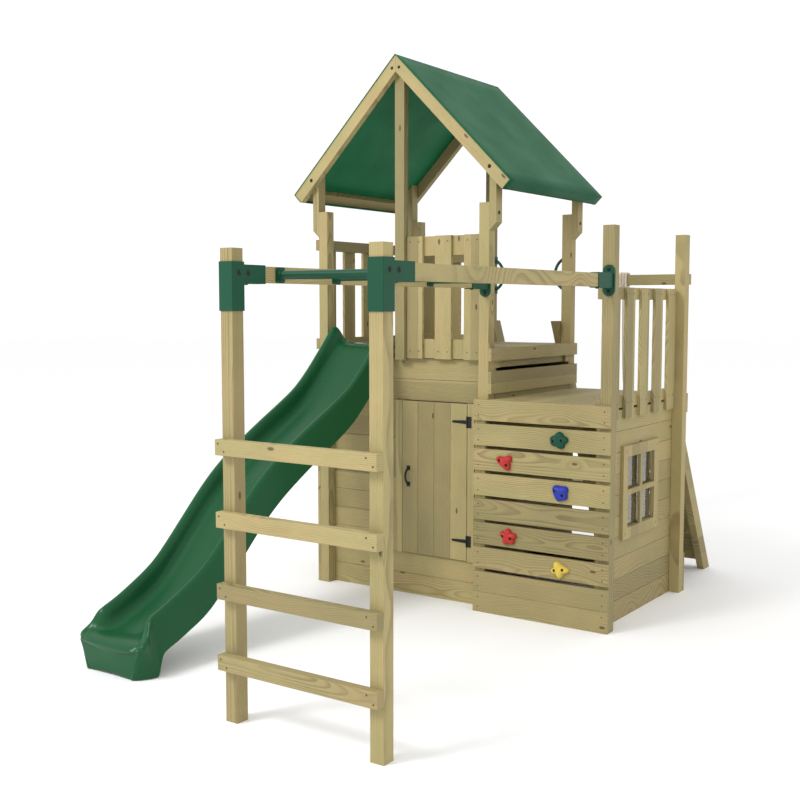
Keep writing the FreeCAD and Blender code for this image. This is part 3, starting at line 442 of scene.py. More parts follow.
GRAIN_RELIEF, GRAIN_STRENGTH = 0.0006, 0.5


def wear_grain(tree, shader, outs, colour=None):
    """Feed a grain group's colour, roughness and height into the shader."""
    tree.links.new(colour or outs["Color"], shader.inputs["Base Color"])
    tree.links.new(outs["Roughness"], shader.inputs["Roughness"])
    add_bump(tree, shader, outs["Height"], GRAIN_RELIEF, GRAIN_STRENGTH)


def timber(name, along_axis, rows=(0, 0, 0), start=(0, 0, 0), seed=0.0, ring=0.0075, knots=1.0,
           pale=PALE_PINE):
    """Pressure treated pine whose grain runs along one axis."""
    across_axis = "X" if along_axis != "X" else "Z"
    wander = POST_WANDER if along_axis == "Z" else 1.0
    material, tree, shader, coordinates = base_material(name)
    node = add_group(tree, grain, Vector=coordinates, Along=AXES[along_axis],
                     Across=AXES[across_axis], Rows=rows, Row_Start=start, Seed=seed,
                     Ring_Width=ring, Pale=pale, Dark=DARK_PINE, Knots=knots, Wander=wander)
    wear_grain(tree, shader, node.outputs)
    return material


def dress(node, material):
    """Give a carried-over node its material."""
    mesh = nodes[node].data
    mesh.materials.clear()
    mesh.materials.append(material)


# %% [markdown]
# ## Which way each board runs
# Rungs, climbing boards and wall boards lie along X; rails, side boards and beams lie along Y;
# posts, pickets and door planks stand up. The table below says so for every timber node, with the
# spacing of its boards where one node holds many.

# %% Timber nodes
BOARD, FAR_POSTS, NEAR_POSTS, RUNG = 0.125, 0.60, 0.40, 0.32
DOOR_PLANK, HIGH_DECK_BOARD, LOW_DECK_BOARD = 0.1209, 0.1143, 0.1165
LEDGE, JAMB, JOIST, STRINGER, TREAD = 0.3, 0.25, 0.22, 0.2, 0.262


def spaced(x=None, y=None, z=None):
    """Boards per metre along each axis, from the spacing of the boards."""
    return tuple(1 / gap if gap else 0 for gap in (x, y, z))


POST_ROWS = spaced(x=NEAR_POSTS, y=FAR_POSTS)
TIMBER = {
    "ladder_posts": ("Z", POST_ROWS), "ladder_rungs": ("X", spaced(z=RUNG)),
    "monkey_beams": ("Y", spaced(x=NEAR_POSTS)), "tower_posts": ("Z", POST_ROWS),
    "roof_uprights": ("Z", POST_ROWS), "king_posts": ("Z", spaced(y=FAR_POSTS)),
    "annex_posts": ("Z", POST_ROWS), "roof_purlins": ("Y", spaced(x=NEAR_POSTS)),
    "rope_rail": ("X", spaced()), "wall_batten": ("Z", spaced()),
    "front_boards": ("X", spaced(z=BOARD)), "left_boards": ("Y", spaced(z=BOARD)),
    "back_boards": ("X", spaced(z=BOARD)), "right_boards": ("Y", spaced(z=BOARD)),
    "annex_boards": ("Y", spaced(z=BOARD)), "door_planks": ("Z", spaced(x=DOOR_PLANK)),
    "door_ledges": ("X", spaced(z=LEDGE)), "door_jambs": ("Z", spaced(x=JAMB)),
    "tower_deck_boards": ("X", spaced(y=HIGH_DECK_BOARD)),
    "annex_deck_boards": ("Y", spaced(x=LOW_DECK_BOARD)), "deck_joists": ("Y", spaced(x=JOIST)),
    "back_ladder": ("Z", spaced(x=STRINGER, z=TREAD)), "ramp": ("X", spaced(z=BOARD)),
}
CLIMBING_BOARDS = 9
for number, (node, (axis, rows)) in enumerate(TIMBER.items(), 1):
    dress(node, timber(node + "_pine", axis, rows, low(node) - Vector((0.002,) * 3), seed=number * 1.7))
for number in range(1, CLIMBING_BOARDS + 1):
    node = "climbing_board_%d" % number
    dress(node, timber(node + "_pine", "X", start=low(node), seed=40 + number * 2.3, ring=0.009))
print("timber nodes", len(TIMBER) + CLIMBING_BOARDS)

# %% [markdown]
# ## Railings, rafters and the window
# These nodes hold boards of two directions, rails one way and pickets the other. A CAD node is
# kept whole, so its material chooses: on the pickets' side of a plane the grain stands up, on the
# other side it runs along the rail. The rafters slope, so they take a turned axis instead.


# %% Sloping and mixed timber
HALF_ROOT = math.sqrt(0.5)


def slope_timber(name, start, seed):
    """Grain that follows two rafters which lean against each other over the ridge."""
    material, tree, shader, coordinates = base_material(name)
    centre = math_node(tree, "SUBTRACT", vector_node(tree, "DOT_PRODUCT", coordinates, (1, 0, 0)),
                       start.x)
    side = math_node(tree, "SIGN", centre)
    axis = tree.nodes.new("ShaderNodeCombineXYZ")
    tree.links.new(math_node(tree, "MULTIPLY", side, HALF_ROOT), axis.inputs[0])
    axis.inputs[2].default_value = -HALF_ROOT
    node = add_group(tree, grain, Vector=coordinates, Across=(0, 1, 0), Rows=(1.0, 1 / FAR_POSTS, 0),
                     Row_Start=start, Seed=seed, Ring_Width=0.007, Pale=PALE_PINE, Dark=DARK_PINE,
                     Knots=1.0)
    tree.links.new(axis.outputs[0], node.inputs["Along"])
    wear_grain(tree, shader, node.outputs)
    return material


ROOF_CENTRE = (low("roof_cover") + high("roof_cover")) / 2
dress("rafters", slope_timber("rafter_pine", Vector((ROOF_CENTRE.x, low("rafters").y, 2.0)), 61.0))


def picket_timber(name, rail_axis, face_axis, face_at, picket_side, rows, start, seed):
    """Upright grain on the pickets' side of a plane, rail grain on the other side."""
    material, tree, shader, coordinates = base_material(name)
    depth = vector_node(tree, "DOT_PRODUCT", coordinates, AXES[face_axis])
    test = "GREATER_THAN" if picket_side > 0 else "LESS_THAN"
    upright = math_node(tree, test, depth, face_at)
    outs = []
    for axis, row in (("Z", rows), (rail_axis, spaced(z=NEAR_POSTS))):
        outs.append(add_group(tree, grain, Vector=coordinates, Along=AXES[axis],
                              Across=AXES[rail_axis if axis == "Z" else "Z"], Rows=row,
                              Row_Start=start, Seed=seed, Ring_Width=0.0075, Pale=PALE_PINE,
                              Dark=DARK_PINE).outputs)
    colour = mix_colour(tree, upright, outs[1]["Color"], outs[0]["Color"])
    wear_grain(tree, shader, outs[0], colour)
    return material


PICKET_DEPTH = 0.020 + 0.0005
PICKET_MARGIN = Vector((0.03,) * 3)
SHORT_RAIL_PITCH, LONG_RAIL_PITCH = 0.1905, 0.214
for node, axis, face_axis, face, side, pitch, seed in (
        ("front_railing", "X", "Y", low("front_railing").y + PICKET_DEPTH, -1, SHORT_RAIL_PITCH, 71.0),
        ("back_railing", "X", "Y", high("back_railing").y - PICKET_DEPTH, 1, SHORT_RAIL_PITCH, 73.0),
        ("left_railing", "Y", "X", low("left_railing").x + PICKET_DEPTH, -1, LONG_RAIL_PITCH, 75.0),
        ("annex_railing", "Y", "X", high("annex_railing").x - PICKET_DEPTH, 1, LONG_RAIL_PITCH, 77.0)):
    rows = spaced(x=pitch) if axis == "X" else spaced(y=pitch)
    start = low(node) - PICKET_MARGIN
    dress(node, picket_timber(node + "_pine", axis, face_axis, face, side, rows, start, seed))
SASH_PITCH = 0.12
dress("window_frame", timber("window_pine", "Z", spaced(y=SASH_PITCH), low("window_frame"), 81.0, 0.006,
                             0.3))
print("railings and rafters dressed")

# %% [markdown]
# ## Moulded plastic and painted steel
# Moulded plastic is one colour all through, so what makes it look real is its surface: a fine
# texture from the mould, faint cloudiness, and scuffs rubbed a little paler. One group does all
# three. The sheen is kept low, because the fine texture scatters most of what it reflects.

# %% Plastic group
mould, m_in, m_out = new_group(
    "mould_texture",
    (("Vector", "Vector", (0, 0, 0)), ("Color", "Color", (0, 0.2, 0.1, 1)),
     ("Rubbed", "Color", (0.1, 0.35, 0.2, 1)), ("Scale", "Float", 900.0),
     ("Smooth", "Float", 0.3), ("Rough", "Float", 0.5)),
    (("Color", "Color"), ("Roughness", "Float"), ("Height", "Float")))
speckle = noise(mould, m_in.outputs["Vector"], m_in.outputs["Scale"], 2.0, 0.6)
clouds = noise(mould, m_in.outputs["Vector"], 3.2, 4.0, 0.55)
scuff_place = vector_node(mould, "MULTIPLY", m_in.outputs["Vector"], (60.0, 6.0, 24.0))
scuffs = ramp_value(mould, noise(mould, scuff_place, 1.0, 5.0, 0.7), 0.60, 0.80)
tinted = mix_colour(mould, ramp_value(mould, clouds, 0.3, 0.7, 0.0, 0.16), m_in.outputs["Color"],
                    m_in.outputs["Rubbed"])
mould.links.new(mix_colour(mould, math_node(mould, "MULTIPLY", scuffs, 0.22), tinted,
                           m_in.outputs["Rubbed"]), m_out.inputs["Color"])
worn = math_node(mould, "ADD", math_node(mould, "MULTIPLY", scuffs, 0.35),
                 math_node(mould, "MULTIPLY", clouds, 0.5))
mould.links.new(ramp_value(mould, worn, 0.1, 0.6, m_in.outputs["Smooth"], m_in.outputs["Rough"]),
                m_out.inputs["Roughness"])
mould.links.new(speckle, m_out.inputs["Height"])

SOFT_SHEEN = 0.22


def moulded(name, colour, rubbed, smooth, rough, scale=900.0, bump=0.00012, metallic=0.0):
    material, tree, shader, coordinates = base_material(name, metallic)
    node = add_group(tree, mould, Vector=coordinates, Color=colour, Rubbed=rubbed, Scale=scale,
                     Smooth=smooth, Rough=rough)
    tree.links.new(node.outputs["Color"], shader.inputs["Base Color"])
    tree.links.new(node.outputs["Roughness"], shader.inputs["Roughness"])
    shader.inputs["Specular IOR Level"].default_value = SOFT_SHEEN
    add_bump(tree, shader, node.outputs["Height"], bump, 0.6)
    return material


SLIDE_GREEN = moulded("slide_green", (0.005, 0.070, 0.022, 1), (0.010, 0.095, 0.034, 1), 0.26, 0.38,
                      700.0, 0.00008)
BRACKET_GREEN = moulded("bracket_green", (0.005, 0.062, 0.030, 1), (0.016, 0.100, 0.055, 1), 0.46, 0.62)
BAR_GREEN = moulded("bar_green", (0.004, 0.055, 0.026, 1), (0.015, 0.090, 0.050, 1), 0.36, 0.5)
HANDLE_GREEN = moulded("handle_green", (0.006, 0.070, 0.042, 1), (0.02, 0.11, 0.07, 1), 0.38, 0.55)
HOLD_GREEN = moulded("hold_green_resin", (0.004, 0.062, 0.036, 1), (0.012, 0.100, 0.060, 1), 0.40, 0.6,
                     420.0, 0.0005)
HOLD_RED = moulded("hold_red_resin", (0.42, 0.028, 0.024, 1), (0.55, 0.090, 0.070, 1), 0.36, 0.55,
                   420.0, 0.0005)
HOLD_BLUE = moulded("hold_blue_resin", (0.020, 0.035, 0.33, 1), (0.06, 0.08, 0.45, 1), 0.34, 0.5,
                    420.0, 0.0005)
HOLD_YELLOW = moulded("hold_yellow_resin", (0.62, 0.46, 0.070, 1), (0.70, 0.56, 0.160, 1), 0.38, 0.55,
                      420.0, 0.0005)
BLACK_STEEL = moulded("black_steel", (0.012, 0.012, 0.013, 1), (0.05, 0.05, 0.05, 1), 0.38, 0.55)
CAP_PLASTIC = moulded("cap_black", (0.010, 0.016, 0.014, 1), (0.03, 0.04, 0.04, 1), 0.35, 0.5)
SCREW_STEEL = moulded("screw_steel", (0.10, 0.085, 0.055, 1), (0.2, 0.17, 0.12, 1), 0.35, 0.55,
                      metallic=0.8)
for node, material in (("ladder_brackets", BRACKET_GREEN), ("beam_sockets", BRACKET_GREEN),
                       ("bar_flanges", BRACKET_GREEN), ("monkey_bars", BAR_GREEN),
                       ("grab_handles", HANDLE_GREEN), ("hinge_plates", BLACK_STEEL),
                       ("hinge_straps", BLACK_STEEL), ("door_handle", BLACK_STEEL),
                       ("bolt_caps", CAP_PLASTIC), ("wood_screws", SCREW_STEEL),
                       ("hold_bolts", SCREW_STEEL)):
    dress(node, material)
print("plastic and steel ready")

# %% [markdown]
# ## Clear window pane
# The pane is thin clear acrylic. Transmission and a low roughness are set straight on the shader,
# since they are the same all over; only a trace of blue in the colour varies from place to place.

# %% Window pane
pane, pane_tree, pane_shader, pane_place = base_material("clear_acrylic")
pane_shader.inputs["Transmission Weight"].default_value = 1.0
pane_shader.inputs["IOR"].default_value = 1.49
pane_shader.inputs["Roughness"].default_value = 0.02
tint = noise(pane_tree, pane_place, 2.0, 1.0, 0.5)
plug(pane_tree, mix_colour(pane_tree, tint, (0.93, 0.96, 0.98, 1), (0.97, 0.98, 0.99, 1)),
     pane_shader.inputs["Base Color"])
dress("window_pane", pane)
print("pane ready")

# %% [markdown]
# ## The slide
# The slide is blow moulded in one go, so it has no hard corners: rounded rims, walls that lean out,
# and a bed that curves up into them. It is lofted. One cross section is drawn as a row of vertices,
# extruded from station to station down the run, and each new row is moved to fit its own height and
# width. Solidify then gives the skin its thickness, and Subdivision Surface rounds everything.

# %% Slide stations
SLIDE_X = (low("slide").x + high("slide").x) / 2
SLIDE_HALF = (high("slide").x - low("slide").x) / 2
# along the run: place, rim height, bed height, skirt's lower edge, half width at the rim and below
STATIONS = (
    (2338, 1622, 1614, 1606, 205, 236), (2300, 1650, 1612, 1603, 205, 238),
    (2268, 1698, 1610, 1570, 206, 242), (2242, 1722, 1606, 1522, 207, 246),
    (2205, 1706, 1588, 1492, 207, 248), (2140, 1634, 1520, 1428, 206, 248),
    (2070, 1563, 1446, 1354, 205, 248), (1960, 1452, 1334, 1244, 204, 248),
    (1860, 1366, 1248, 1158, 203, 248), (1783, 1314, 1195, 1105, 202, 248),
    (1650, 1243, 1124, 1034, 200, 248), (1510, 1172, 1053, 963, 197, 248),
    (1378, 1101, 982, 892, 194, 248), (1265, 1036, 918, 828, 192, 248),
    (1165, 976, 857, 767, 190, 248), (1070, 907, 788, 698, 188, 248),
    (980, 833, 714, 624, 186, 248), (860, 716, 598, 508, 184, 247),
    (745, 603, 484, 394, 182, 245), (670, 533, 413, 324, 180, 242),
    (600, 473, 352, 262, 178, 240), (520, 425, 303, 216, 176, 238),
    (440, 385, 265, 184, 174, 238), (365, 348, 236, 152, 173, 240),
    (300, 320, 212, 132, 173, 240), (262, 306, 198, 112, 174, 236),
    (246, 299, 194, 40, 175, 236), (236, 293, 191, 4, 177, 238),
    (215, 281, 189, 4, 184, 236), (197, 242, 188, 4, 196, 231),
    (182, 216, 187, 4, 208, 225), (158, 196, 184, 4, 220, 210),
    (130, 180, 176, 4, 222, 188), (108, 166, 165, 4, 212, 162))


def slide_section(rim, bed, skirt, crest_half, skirt_half):
    """Right half of the cross section from the bed's middle outwards, as (x, z)."""
    wall = rim - bed
    lip = crest_half + 18
    fall = rim - 10 - skirt
    flare = skirt_half - lip
    return [(0, bed), (0.5 * (crest_half - 75), bed), (crest_half - 75, bed + 1),
            (crest_half - 47, bed + 0.22 * wall), (crest_half - 33, bed + 0.68 * wall),
            (crest_half - 22, rim - 8), (crest_half - 7, rim + 3), (crest_half + 8, rim + 2),
            (lip, rim - 10), (lip + 0.12 * flare, rim - 10 - 0.10 * fall),
            (lip + 0.55 * flare, rim - 10 - 0.52 * fall),
            (lip + 0.93 * flare, rim - 10 - 0.93 * fall), (skirt_half, skirt)]


def station_places(station):
    along, *shape = station
    half = slide_section(*shape)
    whole = [(-x, z) for x, z in reversed(half[1:])] + half
    y = along / 1000 + TO_FRAME.y
    return [Vector((SLIDE_X + x / 1000, y, z / 1000)) for x, z in whole]


# %% Slide loft
bm = bmesh.new()
first = [bm.verts.new(place) for place in station_places(STATIONS[0])]
edges = [bm.edges.new(pair) for pair in zip(first, first[1:])]
row_verts = first
for station in STATIONS[1:]:
    made = bmesh.ops.extrude_edge_only(bm, edges=edges)["geom"]
    fresh = {v for v in made if isinstance(v, bmesh.types.BMVert)}
    edges = [e for e in made if isinstance(e, bmesh.types.BMEdge) and set(e.verts) <= fresh]
    row_verts = [next(e.other_vert(v) for e in v.link_edges if e.other_vert(v) in fresh)
                 for v in row_verts]
    for vert, place_here in zip(row_verts, station_places(station)):
        vert.co = place_here
# the front of the foot leans back towards the floor and curves back at both corners, and its base is
# narrower than its top
NOSE_CURVE, NOSE_HALF, NOSE_HEIGHT = 0.026, 0.235, 0.166
NOSE_STEP, NOSE_LEAN, NOSE_LOWERED = 0.010, 0.020, 0.94
NOSE_TOP_WIDTH, NOSE_BASE_WIDTH = 0.955, 0.93


def curved_back(vert):
    return NOSE_CURVE * min(1.0, abs(vert.co.x - SLIDE_X) / NOSE_HALF) ** 4


for vert in row_verts:
    vert.co.y += curved_back(vert)
nose_top = min(v.co.y for v in row_verts)
made = bmesh.ops.extrude_edge_only(bm, edges=edges)["geom"]
fresh = {v for v in made if isinstance(v, bmesh.types.BMVert)}
row_verts = [next(e.other_vert(v) for e in v.link_edges if e.other_vert(v) in fresh)
             for v in row_verts]
for vert in row_verts:
    share = vert.co.z / NOSE_HEIGHT
    vert.co.y = nose_top - NOSE_STEP + NOSE_LEAN * (1 - share)
    width = NOSE_TOP_WIDTH if share > 0.5 else NOSE_BASE_WIDTH
    vert.co.x = SLIDE_X + (vert.co.x - SLIDE_X) * width
    vert.co.z *= NOSE_LOWERED
    vert.co.y += curved_back(vert)
front = bm.faces.new(row_verts)
for _ in range(2):
    bmesh.ops.inset_region(bm, faces=[front], thickness=0.010, use_even_offset=True)
slide = piece_from(bm, "moulded_slide")
skin = slide.modifiers.new("skin", "SOLIDIFY")
skin.thickness = 0.005
skin.offset = -1.0
skin.use_rim = True
subdivide(slide, 2)
finish_piece(slide, SLIDE_GREEN)
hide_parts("slide")

# %% [markdown]
# ## The roof sheet
# The roof is one coated sheet pulled over the rafters and turned under at both eaves. It sags a
# few millimetres between the gables, where nothing holds it up. The sheet is one strip of vertices
# across both slopes, extruded along the ridge, and the sag is added to each vertex. Solidify gives
# the inside a second material, because light coming through makes it brighter than the outside.

# %% Roof sheet
RIDGE_Z = 3.3952
SLOPE_RUN = 0.8120
HEM = 0.071
SHEET_LENGTH = high("roof_cover").y - low("roof_cover").y
SAG = 0.012
SLOPE_STEPS, RIDGE_STEPS = 14, 20
slope_shares = [i / SLOPE_STEPS for i in range(SLOPE_STEPS + 1)]
right_side = [(SLOPE_RUN * share, RIDGE_Z - SLOPE_RUN * share, share) for share in slope_shares]
hem_line = [(SLOPE_RUN - HEM * HALF_ROOT * k / 3, RIDGE_Z - SLOPE_RUN - HEM * HALF_ROOT * k / 3, 1.0)
            for k in (1, 2, 3)]
right_side += hem_line
strip = [(-x, z, s) for x, z, s in reversed(right_side[1:])] + right_side

bm = bmesh.new()
uv_layer = bm.loops.layers.uv.new("UVMap")
row_verts = [bm.verts.new((ROOF_CENTRE.x + x, low("roof_cover").y + 0.001, z)) for x, z, _ in strip]
edges = [bm.edges.new(pair) for pair in zip(row_verts, row_verts[1:])]
for _ in range(RIDGE_STEPS):
    made = bmesh.ops.extrude_edge_only(bm, edges=edges)["geom"]
    fresh = [v for v in made if isinstance(v, bmesh.types.BMVert)]
    bmesh.ops.translate(bm, verts=fresh, vec=(0, (SHEET_LENGTH - 0.002) / RIDGE_STEPS, 0))
    edges = [e for e in made if isinstance(e, bmesh.types.BMEdge) and set(e.verts) <= set(fresh)]
bmesh.ops.recalc_face_normals(bm, faces=bm.faces)
for face in bm.faces:
    for loop in face.loops:
        x, y, z = loop.vert.co
        loop[uv_layer].uv = (y, math.copysign((RIDGE_Z - z) / HALF_ROOT, x - ROOF_CENTRE.x))
for vert in bm.verts:
    share = min(1.0, abs(vert.co.x - ROOF_CENTRE.x) / SLOPE_RUN)
    along_ridge = (vert.co.y - low("roof_cover").y) / SHEET_LENGTH
    on_slope = abs((RIDGE_Z - vert.co.z) - abs(vert.co.x - ROOF_CENTRE.x)) < 1e-4
    dip = SAG * math.sin(math.pi * share) * math.sin(math.pi * along_ridge) if on_slope else 0.0
    side = math.copysign(1.0, vert.co.x - ROOF_CENTRE.x)
    vert.co.x -= side * dip * HALF_ROOT
    vert.co.z -= dip * HALF_ROOT
print("roof sheet", len(bm.faces), "faces, length", round(SHEET_LENGTH, 3))
mesh = bpy.data.meshes.new("roof_sheet")
bm.to_mesh(mesh)
bm.free()
for face in mesh.polygons:
    face.use_smooth = abs(face.normal.z) > 0.1
roof = bpy.data.objects.new("roof_sheet", mesh)
bpy.context.scene.collection.objects.link(roof)
cloth_skin = roof.modifiers.new("thickness", "SOLIDIFY")
cloth_skin.thickness = 0.0016
cloth_skin.offset = 0.0
cloth_skin.material_offset = 1

# %% Sheet weave group
weave, w_in, w_out = new_group(
    "coated_weave", (("Vector", "Vector", (0, 0, 0)), ("Threads", "Float", 833.0),
                     ("Color", "Color", (0, 0.2, 0.1, 1)), ("Deep", "Color", (0, 0.1, 0.05, 1))),
    (("Color", "Color"), ("Roughness", "Float"), ("Height", "Float")))
enlarged = weave.nodes.new("ShaderNodeVectorMath")
enlarged.operation = "SCALE"
weave.links.new(w_in.outputs["Vector"], enlarged.inputs[0])
weave.links.new(w_in.outputs["Threads"], enlarged.inputs["Scale"])
threads = weave.nodes.new("ShaderNodeSeparateXYZ")
weave.links.new(enlarged.outputs[0], threads.inputs[0])
warp = math_node(weave, "SINE", math_node(weave, "MULTIPLY", threads.outputs[0], math.pi))
weft = math_node(weave, "SINE", math_node(weave, "MULTIPLY", threads.outputs[1], math.pi))
plain_weave = math_node(weave, "MULTIPLY", warp, weft)
cloudy = noise(weave, w_in.outputs["Vector"], 3.0, 4.0, 0.5)
weave.links.new(mix_colour(weave, ramp_value(weave, cloudy, 0.3, 0.7, 0.0, 0.35),
                           w_in.outputs["Color"], w_in.outputs["Deep"]), w_out.inputs["Color"])
weave.links.new(ramp_value(weave, cloudy, 0.2, 0.8, 0.52, 0.66), w_out.inputs["Roughness"])
weave.links.new(plain_weave, w_out.inputs["Height"])


def sheet_material(name, colour, deep, hem_share):
    material, tree, shader, _ = base_material(name)
    uv = tree.nodes.new("ShaderNodeUVMap")
    uv.uv_map = "UVMap"
    node = add_group(tree, weave, Vector=uv.outputs[0], Color=colour, Deep=deep)
    split_uv = tree.nodes.new("ShaderNodeSeparateXYZ")
    tree.links.new(uv.outputs[0], split_uv.inputs[0])
    down = math_node(tree, "ABSOLUTE", split_uv.outputs[1])
    eave = SLOPE_RUN / HALF_ROOT
    hem = ramp_value(tree, down, eave - 0.074, eave - 0.070)
    seam = math_node(tree, "MULTIPLY", ramp_value(tree, down, eave - 0.068, eave - 0.066),
                     ramp_value(tree, down, eave - 0.060, eave - 0.064))
    dark = math_node(tree, "MULTIPLY", math_node(tree, "ADD", hem, math_node(tree, "MULTIPLY", seam, 0.5)),
                     hem_share)
    tree.links.new(mix_colour(tree, dark, node.outputs["Color"], deep), shader.inputs["Base Color"])
    tree.links.new(node.outputs["Roughness"], shader.inputs["Roughness"])
    shader.inputs["Specular IOR Level"].default_value = SOFT_SHEEN
    add_bump(tree, shader, node.outputs["Height"], 0.0001, 0.4)
    return material


roof.data.materials.append(sheet_material("sheet_outside", (0.003, 0.098, 0.034, 1),
                                          (0.003, 0.070, 0.030, 1), 0.35))
# the inside's brighter green is painted light, for light coming through the sheet; its hem band is
# darkened more than the outside's as painted shade where the sheet lies double
roof.data.materials.append(sheet_material("sheet_inside_painted_light", (0.004, 0.170, 0.062, 1),
                                          (0.003, 0.080, 0.032, 1), 0.75))
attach(roof, "frame")
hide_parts("roof_cover")

# %% [markdown]
# ## The hand holds
# Each hold is a cast resin lump with rounded lobes and two deep bolt pockets. It starts as the
# front half of a sphere, cut flat where it meets the wall. Its vertices are pushed out towards the
# nearest lobe and left low in between, the middle is dished, and the outline is scaled to the size
# of its frame node. Two cylinders then cut the pockets, along a line tilted as the hold is.

# %% Hand holds
HOLD_DEPTH = 0.042
POCKET_R, POCKET_FLOOR, POCKET_OUT, CUTTER_LENGTH = 0.0095, 0.014, 0.0265, 0.06
LOBE_SHARPNESS, DOME_POWER, MIDDLE_RISE, NODE_SHARE = 7, 2.6, 0.78, 0.99
WALL_FACE = low("climbing_board_1").y
# node: middle of the pockets as x and z in mm from the ladder's corner, lobe directions in degrees,
# how deep the outline falls between them, tilt in degrees, material
HOLDS = {"hold_green": ((-322, 1085), (9, 86, 171, 207, 289), 0.28, 9, HOLD_GREEN),
         "hold_red_upper": ((-678, 930), (42, 154, 300), 0.40, -30, HOLD_RED),
         "hold_blue": ((-311, 783), (39, 139, 262, 312), 0.26, -23, HOLD_BLUE),
         "hold_red_lower": ((-649, 486), (17, 92, 154, 247, 311), 0.40, -9, HOLD_RED),
         "hold_yellow": ((-308, 335), (0, 120, 200, 270), 0.42, 9, HOLD_YELLOW)}


def pocket(x, z):
    bm = bmesh.new()
    bmesh.ops.create_cone(bm, cap_ends=True, segments=40, radius1=POCKET_R, radius2=POCKET_R,
                          depth=CUTTER_LENGTH)
    bmesh.ops.rotate(bm, verts=bm.verts, matrix=Matrix.Rotation(math.pi / 2, 3, "X"))
    bmesh.ops.translate(bm, verts=bm.verts, vec=(x, WALL_FACE - POCKET_FLOOR - CUTTER_LENGTH / 2, z))
    return piece_from(bm, "pocket_cutter", smooth=False)


def applied(piece, name, material, cutters=()):
    """The piece with its modifiers made part of its mesh."""
    for cutter in cutters:
        cut = piece.modifiers.new("pocket", "BOOLEAN")
        cut.operation = "DIFFERENCE"
        cut.solver = "EXACT"
        cut.object = cutter
    bpy.context.view_layer.update()
    ready = piece.evaluated_get(bpy.context.evaluated_depsgraph_get())
    mesh = bpy.data.meshes.new_from_object(ready)
    for old in (piece, *cutters):
        bpy.data.objects.remove(old)
    done = bpy.data.objects.new(name, mesh)
    mesh.materials.clear()
    mesh.materials.append(material)
    bpy.context.scene.collection.objects.link(done)
    return done


def hand_hold(node, middle, lobes, valley, tilt, material):
    centre = Vector((middle[0] / 1000, 0, middle[1] / 1000)) + TO_FRAME
    bm = bmesh.new()
    bmesh.ops.create_uvsphere(bm, u_segments=72, v_segments=36, radius=1.0)
    bmesh.ops.bisect_plane(bm, geom=bm.verts[:] + bm.edges[:] + bm.faces[:], plane_co=(0, 0, 0),
                           plane_no=(0, 0, 1), clear_inner=True)
    rim = [edge for edge in bm.edges if edge.is_boundary]
    bmesh.ops.edgeloop_fill(bm, edges=rim)
    for vert in bm.verts:
        x, out, z = vert.co.x, max(0.0, vert.co.z), vert.co.y
        angle = math.atan2(z, x)
        reach = math.hypot(x, z)
        nearest = max(math.cos(angle - math.radians(lobe)) for lobe in lobes)
        lobe_share = max(0.0, nearest) ** LOBE_SHARPNESS
        side = max(0.0, 1 - out ** DOME_POWER) ** 0.5
        stretch = (1 - valley * (1 - lobe_share)) * (side / reach if reach > 1e-6 else 0.0)
        rise = MIDDLE_RISE + (1 - MIDDLE_RISE) * reach * (0.4 + 0.6 * lobe_share)
        vert.co = (x * stretch, WALL_FACE - out * HOLD_DEPTH * rise, z * stretch)
    for axis in (0, 2):
        spots = [vert.co[axis] for vert in bm.verts]
        size = (high(node)[axis] - low(node)[axis]) * NODE_SHARE / (max(spots) - min(spots))
        middle_here = (high(node)[axis] + low(node)[axis]) / 2 - size * (max(spots) + min(spots)) / 2
        for vert in bm.verts:
            vert.co[axis] = middle_here + size * vert.co[axis]
    a = math.radians(tilt)
    spread = Vector((math.cos(a), 0, math.sin(a))) * POCKET_OUT
    pockets = [pocket(spot.x, spot.z) for spot in (centre - spread, centre + spread)]
    hold = applied(piece_from(bm, node + "_blank"), node + "_cast", material, pockets)
    assert len(hold.data.polygons) > 500, node
    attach(hold, "frame")
    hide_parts(node)
    print(hold.name, len(hold.data.polygons), "faces")


for node, shape in HOLDS.items():
    hand_hold(node, *shape)

# %% [markdown]
# ## Finishing the rope
# The rope's material is a cream fibre with brown flecks. The turns round the rail and the knot at
# the end are laid from the same three strands, so they join the hanging part without a change in
# the look. The knot is a trefoil, which is an overhand knot with its ends joined.

# %% Rope material
rope_fibre, rope_tree, rope_shader, rope_place = base_material("rope_fibre")
fleck_place = vector_node(rope_tree, "MULTIPLY", rope_place, (1.0, 1.0, 0.4))
flecks = ramp_value(rope_tree, noise(rope_tree, fleck_place, 260.0, 2.0, 0.6), 0.60, 0.70)
yarn = noise(rope_tree, rope_place, 900.0, 2.0, 0.6)
cream = mix_colour(rope_tree, yarn, (0.66, 0.58, 0.46, 1), (0.80, 0.74, 0.62, 1))
rope_tree.links.new(mix_colour(rope_tree, math_node(rope_tree, "MULTIPLY", flecks, 0.7), cream,
                               (0.22, 0.10, 0.04, 1)), rope_shader.inputs["Base Color"])
plug(rope_tree, ramp_value(rope_tree, yarn, 0.3, 0.7, 0.75, 0.92), rope_shader.inputs["Roughness"])
add_bump(rope_tree, rope_shader, yarn, 0.0004, 0.6)

# %% Rope pieces
RAIL_LOW, RAIL_HIGH = low("rope_rail"), high("rope_rail")
GRIP = ROPE_D / 2 + 0.0004
CORNER = 0.006


def rail_turn(x):
    """Control points of one turn round the rail, cut a little at each corner."""
    y0, y1 = RAIL_LOW.y - GRIP, RAIL_HIGH.y + GRIP
    z0, z1 = RAIL_LOW.z - GRIP, RAIL_HIGH.z + GRIP
    return [Vector((x, y, z)) for y, z in (
        (y1, (z0 + z1) / 2), (y1, z0 + CORNER), (y1, z0), (y1 - CORNER, z0),
        ((y0 + y1) / 2, z0), (y0 + CORNER, z0), (y0, z0), (y0, z0 + CORNER),
        (y0, (z0 + z1) / 2), (y0, z1 - CORNER), (y0, z1), (y0 + CORNER, z1),
        ((y0 + y1) / 2, z1), (y1 - CORNER, z1), (y1, z1), (y1, z1 - CORNER))]


